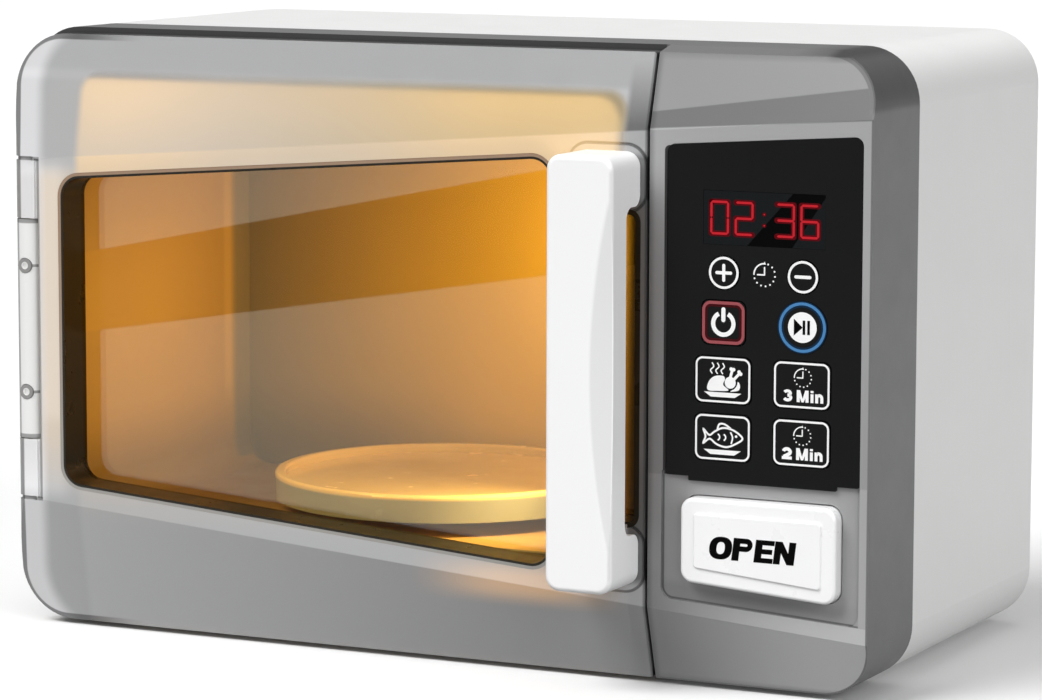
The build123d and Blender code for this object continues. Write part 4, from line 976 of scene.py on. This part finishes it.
def printKey(name, key, shapes, colour="white", front=keyFront, depth=inkDepth):
    # The shapes are drawn about the key's own middle
    x, z = keyPlaces[key]
    placed = [[(x + px, z + pz) for px, pz in loop] for loop in shapes]
    return printOn(name, placed, front, key + "_keycap", colour, depth)


def plusAndMinus():
    sign = {"radius": 4.2, "line": 0.62, "arm": 1.95, "bar": 0.85}
    shapes = ring(sign["radius"], sign["line"])
    shapes += bar(-sign["arm"], 0, sign["arm"], 0, sign["bar"])
    printKey("plusPrint", "plus", shapes + bar(0, -sign["arm"], 0, sign["arm"], sign["bar"]))
    printKey("minusPrint", "minus", shapes)


def powerPrint():
    look = {"frame": (12.0, 11.2, 2.4), "line": 0.8, "spread": 0.18, "halo": 1.55, "middle": -0.25,
            "radius": 3.45, "ringLine": 1.15, "gap": 27, "stemTop": 3.5, "stemFoot": 0.75}
    halo = roundedFrame(*(side + look["spread"] for side in look["frame"]), look["halo"])
    printKey("powerHalo", "power", halo, "redHalo", depth=haloDepth)
    printKey("powerFrame", "power", roundedFrame(*look["frame"], look["line"]), "red")
    arc = arcPoints(0, look["middle"], look["radius"] - look["ringLine"] / 2, 90 + look["gap"],
                    450 - look["gap"], 40)
    stem = bar(0, look["stemFoot"], 0, look["stemTop"], look["ringLine"])
    printKey("powerMark", "power", stroke(arc, look["ringLine"]) + stem)


def startPrint():
    look = {"haloRadius": 6.9, "haloLine": 1.65, "radius": 6.55, "line": 0.75, "disc": 4.0,
            "barHalf": 1.85, "barLine": 0.72}
    halo = ring(look["haloRadius"], look["haloLine"])
    printKey("startHalo", "start", halo, "blueHalo", depth=haloDepth)
    printKey("startRing", "start", ring(look["radius"], look["line"]), "blue")
    printKey("startDisc", "start", disc(0, 0, look["disc"]))
    shapes = [[(-2.35, 2.2), (-2.35, -2.2), (0.1, 0)]]
    for x in (0.45, 1.75):
        shapes += stroke([(x, look["barHalf"]), (x, -look["barHalf"])], look["barLine"])
    printKey("startMark", "start", shapes, "black", keyFront - inkDepth - inkStep)


def roastPrint():
    printKey("roastFrame", "roast", keyFrame)
    body = smoothLoop([(-4.3, -2.75), (-4.0, -0.6), (-2.4, 0.9), (0, 1.15), (0.6, 0.3), (0.1, -1.2),
                       (1.6, -2.6), (-1.5, -2.9)])
    rump = smoothLoop([(2.2, -2.85), (4.4, -2.5), (4.9, -1.2), (4.3, -0.2), (4.0, -1.2), (3.3, -2.1)])
    shapes = [body, rump] + disc(2.1, -0.55, 1.55)
    for bone in ([(2.0, 0.4), (2.7, 2.9)], [(3.0, 0.2), (4.7, 2.0)]):
        shapes += stroke(bone, 0.75)
    for knob in ((2.35, 3.05), (3.05, 2.95), (4.6, 2.4), (5.05, 1.9)):
        shapes += disc(*knob, 0.5, 14)
    for x in (-3.0, -1.5, 0.0):
        steam = [(x, 1.6), (x - 0.5, 2.5), (x + 0.4, 3.5), (x - 0.1, 4.5)]
        shapes += stroke(smoothLoop(steam, 5, closed=False), 0.34)
    printKey("roastMark", "roast", shapes + servingPlate)


def fishPrint():
    printKey("fishFrame", "fish", keyFrame)
    outline = smoothLoop([(5.7, 0.2), (3.2, 2.1), (0.2, 2.6), (-2.2, 1.5), (-3.7, 0.5), (-5.4, 2.0),
                          (-4.8, 0.1), (-5.4, -1.7), (-3.6, -0.5), (-1.6, -1.8), (1.2, -2.4),
                          (4.0, -1.3)])
    fin = smoothLoop([(-1.4, 2.1), (-0.9, 3.5), (0.6, 3.6), (2.4, 2.5)], closed=False)
    gill = smoothLoop([(2.3, 1.6), (2.9, 0.2), (2.5, -1.5)], closed=False)
    shapes = stroke(outline, 0.5, closed=True) + stroke(fin, 0.5) + stroke(gill, 0.42)
    shapes += disc(3.9, 0.55, 0.36, 14)
    for x in (-1.6, 0.1):
        shapes += stroke(arcPoints(x, 0.1, 0.85, -70, 70, 8), 0.4)
    printKey("fishMark", "fish", shapes + servingPlate)


def minutePrints():
    text = {"left": -5.35, "low": -4.4, "height": 3.15}
    for figure, start in (("3", "three"), ("2", "two")):
        key = start + "_minute"
        printKey(start + "Frame", key, keyFrame)
        letters = [(figure, 0, 2.8, 0.92, 0.8), ("M", 4.0, 3.3, 0.85, 0.6),
                   ("i", 7.85, 0.82, 0.82, 0.6), ("n", 9.15, 2.25, 0.82, 0.6)]
        printKey(start + "Word", key, word(letters, *text.values()))
        x, z = keyPlaces[key]
        clockOn(start + "Clock", x + 0.3, z + 1.95, 2.38, keyFront, key + "_keycap")


plusAndMinus()
powerPrint()
startPrint()
roastPrint()
fishPrint()
minutePrints()
clockOn("timerMark", 100.3, 112.0, 2.95, fasciaFront, "case")
print("key prints made")


# The display's digits, each a set of lit bars

digitLook = {"width": 5.3, "height": 8.9, "line": 0.62, "gap": 0.05, "halo": 1.5, "level": 126.35,
             "front": -55.9, "places": (87.5, 94.4, 105.95, 112.75), "proud": 0.035,
             "colonX": 100.05, "colon": (-1.55, 1.35), "dot": 0.22, "dotHalo": 0.55}
segments = {  # each bar's ends as shares of the digit's width and height
    "a": ((-1, 1), (1, 1)), "b": ((1, 1), (1, 0)), "c": ((1, 0), (1, -1)), "d": ((1, -1), (-1, -1)),
    "e": ((-1, -1), (-1, 0)), "f": ((-1, 0), (-1, 1)), "g": ((-1, 0), (1, 0)),
}
litSegments = {"0": "abcdef", "2": "abged", "3": "abgcd", "6": "afgedc"}


def segment(start, end, look):
    # A six-sided bar that stops short of its neighbours
    along = (end - start).normalized()
    a, b = start + along * look["gap"] / 2, end - along * look["gap"] / 2
    side = Vector((-along.y, along.x)) * look["line"] / 2
    inset = along * look["line"] / 2
    corners = (a, a + inset + side, b - inset + side, b, b - inset - side, a + inset - side)
    return [tuple(corner) for corner in corners]


def displayDigits():
    look = digitLook
    across, up = ((look[side] - look["line"]) / 2 for side in ("width", "height"))
    shapes, halo = [], []
    for digit, x in zip("0236", look["places"]):
        for letter in litSegments[digit]:
            start, end = (Vector((x + px * across, look["level"] + pz * up))
                          for px, pz in segments[letter])
            shapes.append(segment(start, end, look))
            halo += bar(*start, *end, look["halo"])
    for rise in look["colon"]:
        shapes += disc(look["colonX"], look["level"] + rise, look["dot"], 12)
        halo += disc(look["colonX"], look["level"] + rise, look["dotHalo"], 16)
    printOn("displayHalo", halo, look["front"], "case", "displayHalo", inkStep)
    printOn("displayDigits", shapes, look["front"], "case", "display", look["proud"])


displayDigits()

openLetters = [("O", 0.0, 6.45, 2.05, 1.4), ("P", 6.6, 5.8, 2.0, 1.4), ("E", 12.9, 5.3, 2.0, 1.32),
               ("N", 18.35, 5.85, 1.9, 1.3)]
openPlace = {"left": 86.5, "low": 36.9, "height": 6.05, "slant": 0.125}
openFront = -59.5
openShapes = word(openLetters, *openPlace.values())
printOn("openWord", openShapes, openFront, "open_key", "black")
print("display and words made")


# A pale lip round the window, over the outer part of the dark frame's front edge; its warmer colour
# towards the top is painted light from the glow

windowLip = {"end": 47.0, "share": 0.58, "most": 1.6, "proud": 0.06, "node": "window_frame",
             "body": "door", "slot": "smoke_shell", "rough": 0.4, "topColour": (0.30, 0.20, 0.13),
             "lowColour": (0.30, 0.29, 0.27), "from": 40.0, "to": 120.0}


def frontLoops(node):
    # The closed outlines of a CAD piece's foremost flat face, as lists of (x, z)
    sheet = bmesh.new()
    sheet.from_mesh(node.data)
    bmesh.ops.remove_doubles(sheet, verts=sheet.verts[:], dist=0.01 * mm)
    front = min(vert.co.y for vert in sheet.verts)
    faces = {face for face in sheet.faces
             if all(abs(vert.co.y - front) < 0.02 * mm for vert in face.verts)}
    nearby = {}
    for edge in sheet.edges:
        if sum(face in faces for face in edge.link_faces) == 1:
            for near, far in (edge.verts, reversed(edge.verts)):
                nearby.setdefault(near, []).append(far)
    loops, used = [], set()
    for start in nearby:
        loop = []
        while start is not None and start not in used:
            used.add(start)
            loop.append((start.co.x / mm, start.co.z / mm))
            start = next((vert for vert in nearby[start] if vert not in used), None)
        if loop:
            loops.append(loop)
    sheet.free()
    return loops, front / mm


def lipMaterial(tree, look):
    # painted light: warmer towards the top, where the glow is
    rise = ease(axes(tree)[2], look["from"], look["to"])
    return principled(tree, blendColour(rise, look["lowColour"], look["topColour"]), look["rough"])


def makeWindowLip(look):
    loops, front = frontLoops(nodes[look["node"]])
    outer, inner = sorted(loops, key=lambda loop: min(x for x, _ in loop))[:2]
    lip = []
    for x, z in outer:
        nearX, nearZ = min(inner, key=lambda place: (place[0] - x) ** 2 + (place[1] - z) ** 2)
        away = Vector((nearX - x, nearZ - z))
        away = away.normalized() * min(away.length, look["most"]) * look["share"]
        lip.append((x + away.x, z + away.y))
    shapes = [[outer[i - 1], outer[i], lip[i], lip[i - 1]] for i in range(len(outer))
              if min(outer[i][0], outer[i - 1][0]) < look["end"]]
    piece = printOn("windowLip", shapes, front, look["body"], "white", look["proud"])
    piece.data.materials[0] = newMaterial("window_lip", lipMaterial, look)


makeWindowLip(windowLip)
print("window lip made")


# Studio: a pale floor, soft white light all round, and a warm lamp inside the cavity

floorLook = {"size": 16.0, "colour": (0.92, 0.92, 0.92), "rough": 0.6}


def makeFloor():
    mesh = bpy.data.meshes.new("floor")
    half = floorLook["size"] / 2
    corners = [(sx * half, sy * half, 0) for sx, sy in ((-1, -1), (1, -1), (1, 1), (-1, 1))]
    mesh.from_pydata(corners, [], [range(4)])
    floor = linked("floor", mesh)
    floor.data.materials.append(newMaterial("floor_paper", ink, floorLook["colour"], floorLook["rough"]))
    floor.visible_diffuse = False  # it doesn't throw its own brightness up under the oven


def makeWorld():
    # The backdrop is brighter to the eye than the light it gives
    world = bpy.data.worlds.new("studio")
    bpy.context.scene.world = world
    world.use_nodes = True
    seen = shaderNode(world.node_tree, "LightPath", output="Is Camera Ray")
    background = world.node_tree.nodes["Background"].inputs
    feed(background["Strength"], remap(seen, 0, 1, studioWorld["light"], studioWorld["backdrop"]))
    feed(background["Color"], (1, 1, 1))


def addLight(name, kind, look, place, target):
    lamp = bpy.data.lights.new(name, kind)
    lamp.energy, lamp.color = look["power"], look.get("colour", (1, 1, 1))
    if kind == "SUN":
        lamp.angle = radians(look["angle"])
    else:
        lamp.shape = "RECTANGLE"
        lamp.size, lamp.size_y = (side * mm for side in look["size"])
        lamp.spread = radians(look["spread"])
    light = linked(name, lamp)
    light.location = Vector(place) * mm
    light.rotation_euler = (Vector(target) - Vector(place)).to_track_quat("-Z", "Y").to_euler()
    return light


studioLights = {
    "key": {"power": 2.72, "angle": 32.0, "place": (-420, -560, 985)},
    "overhead": {"power": 0.68, "angle": 60.0, "place": (0, 0, 900)},
    "fill": {"power": 2.12, "angle": 60.0, "place": (700, -520, 285)},
}
studioTarget = (0, 0, 85)
studioWorld = {"light": 0.26, "backdrop": 1.0}
caveLights = {
    "lampBeam": {"place": (52, -10, 100), "target": (-120, 6, 88), "size": (20, 20), "power": 0.018,
                 "colour": (1.0, 0.74, 0.30), "spread": 60},
    "lampWide": {"place": (24, 2, 112), "target": (6, 62, 98), "size": (14, 14), "power": 0.048,
                 "colour": (1.0, 0.72, 0.22), "spread": 150},
    "lampPlate": {"place": (50, -26, 82), "target": (8, -26, 43), "size": (12, 12), "power": 0.017,
                  "colour": (1.0, 0.82, 0.42), "spread": 55},
    "ceiling": {"place": (-30, 8, 152), "target": (-30, 8, 30), "size": (120, 60), "power": 0.006,
                "colour": (1.0, 0.72, 0.46), "spread": 170},
}
doorGlow = {
    "sharp": {"power": 3.6, "angle": 12.0, "colour": (1.0, 0.62, 0.20)},
    "haze": {"power": 1.2, "angle": 75.0, "colour": (1.0, 0.78, 0.46)},
    "place": (-30.0, 200.0, 78.0), "target": (-30.0, -60.0, 118.0),
}


def group(name, member):
    collection = bpy.data.collections.new(name)
    collection.objects.link(nodes[member])
    return collection


def makeLights():
    for name, look in studioLights.items():
        addLight(name, "SUN", look, look["place"], studioTarget)
    for name, look in caveLights.items():
        light = addLight(name, "AREA", look, look["place"], look["target"])
        light.visible_camera = light.visible_glossy = False
    shell, opening = group("glowReceivers", "door_shell"), group("glowBlockers", "front_bezel")
    for name in ("sharp", "haze"):
        # the cavity's light on the back of the door's shell, cut to shape by the bezel's opening
        glow = addLight(name + "Glow", "SUN", doorGlow[name], doorGlow["place"], doorGlow["target"])
        glow.visible_glossy = False
        glow.light_linking.receiver_collection = shell
        glow.light_linking.blocker_collection = opening


# The camera

cameraLook = {"place": (521.04, -1065.11, 235.56), "yaw": 25.94, "pitch": 7.48, "roll": 0.13,
              "sensor": 36.0, "lens": 4237.89 * 36 / 1042}


def makeCamera():
    look = cameraLook
    lens = bpy.data.cameras.new("camera")
    lens.sensor_width = look["sensor"]
    lens.lens = look["lens"]
    lens.clip_start, lens.clip_end = 0.01, 60
    camera = linked("camera", lens)
    camera.matrix_world = Matrix.Translation(Vector(look["place"]) * mm)
    for angle, axis in ((look["yaw"], "Z"), (90 - look["pitch"], "X"), (look["roll"], "Z")):
        camera.matrix_world = camera.matrix_world @ Matrix.Rotation(radians(angle), 4, axis)
    bpy.context.scene.camera = camera


makeFloor()
makeWorld()
makeLights()
makeCamera()
bpy.context.scene.view_settings.view_transform = "Standard"
print("studio made")
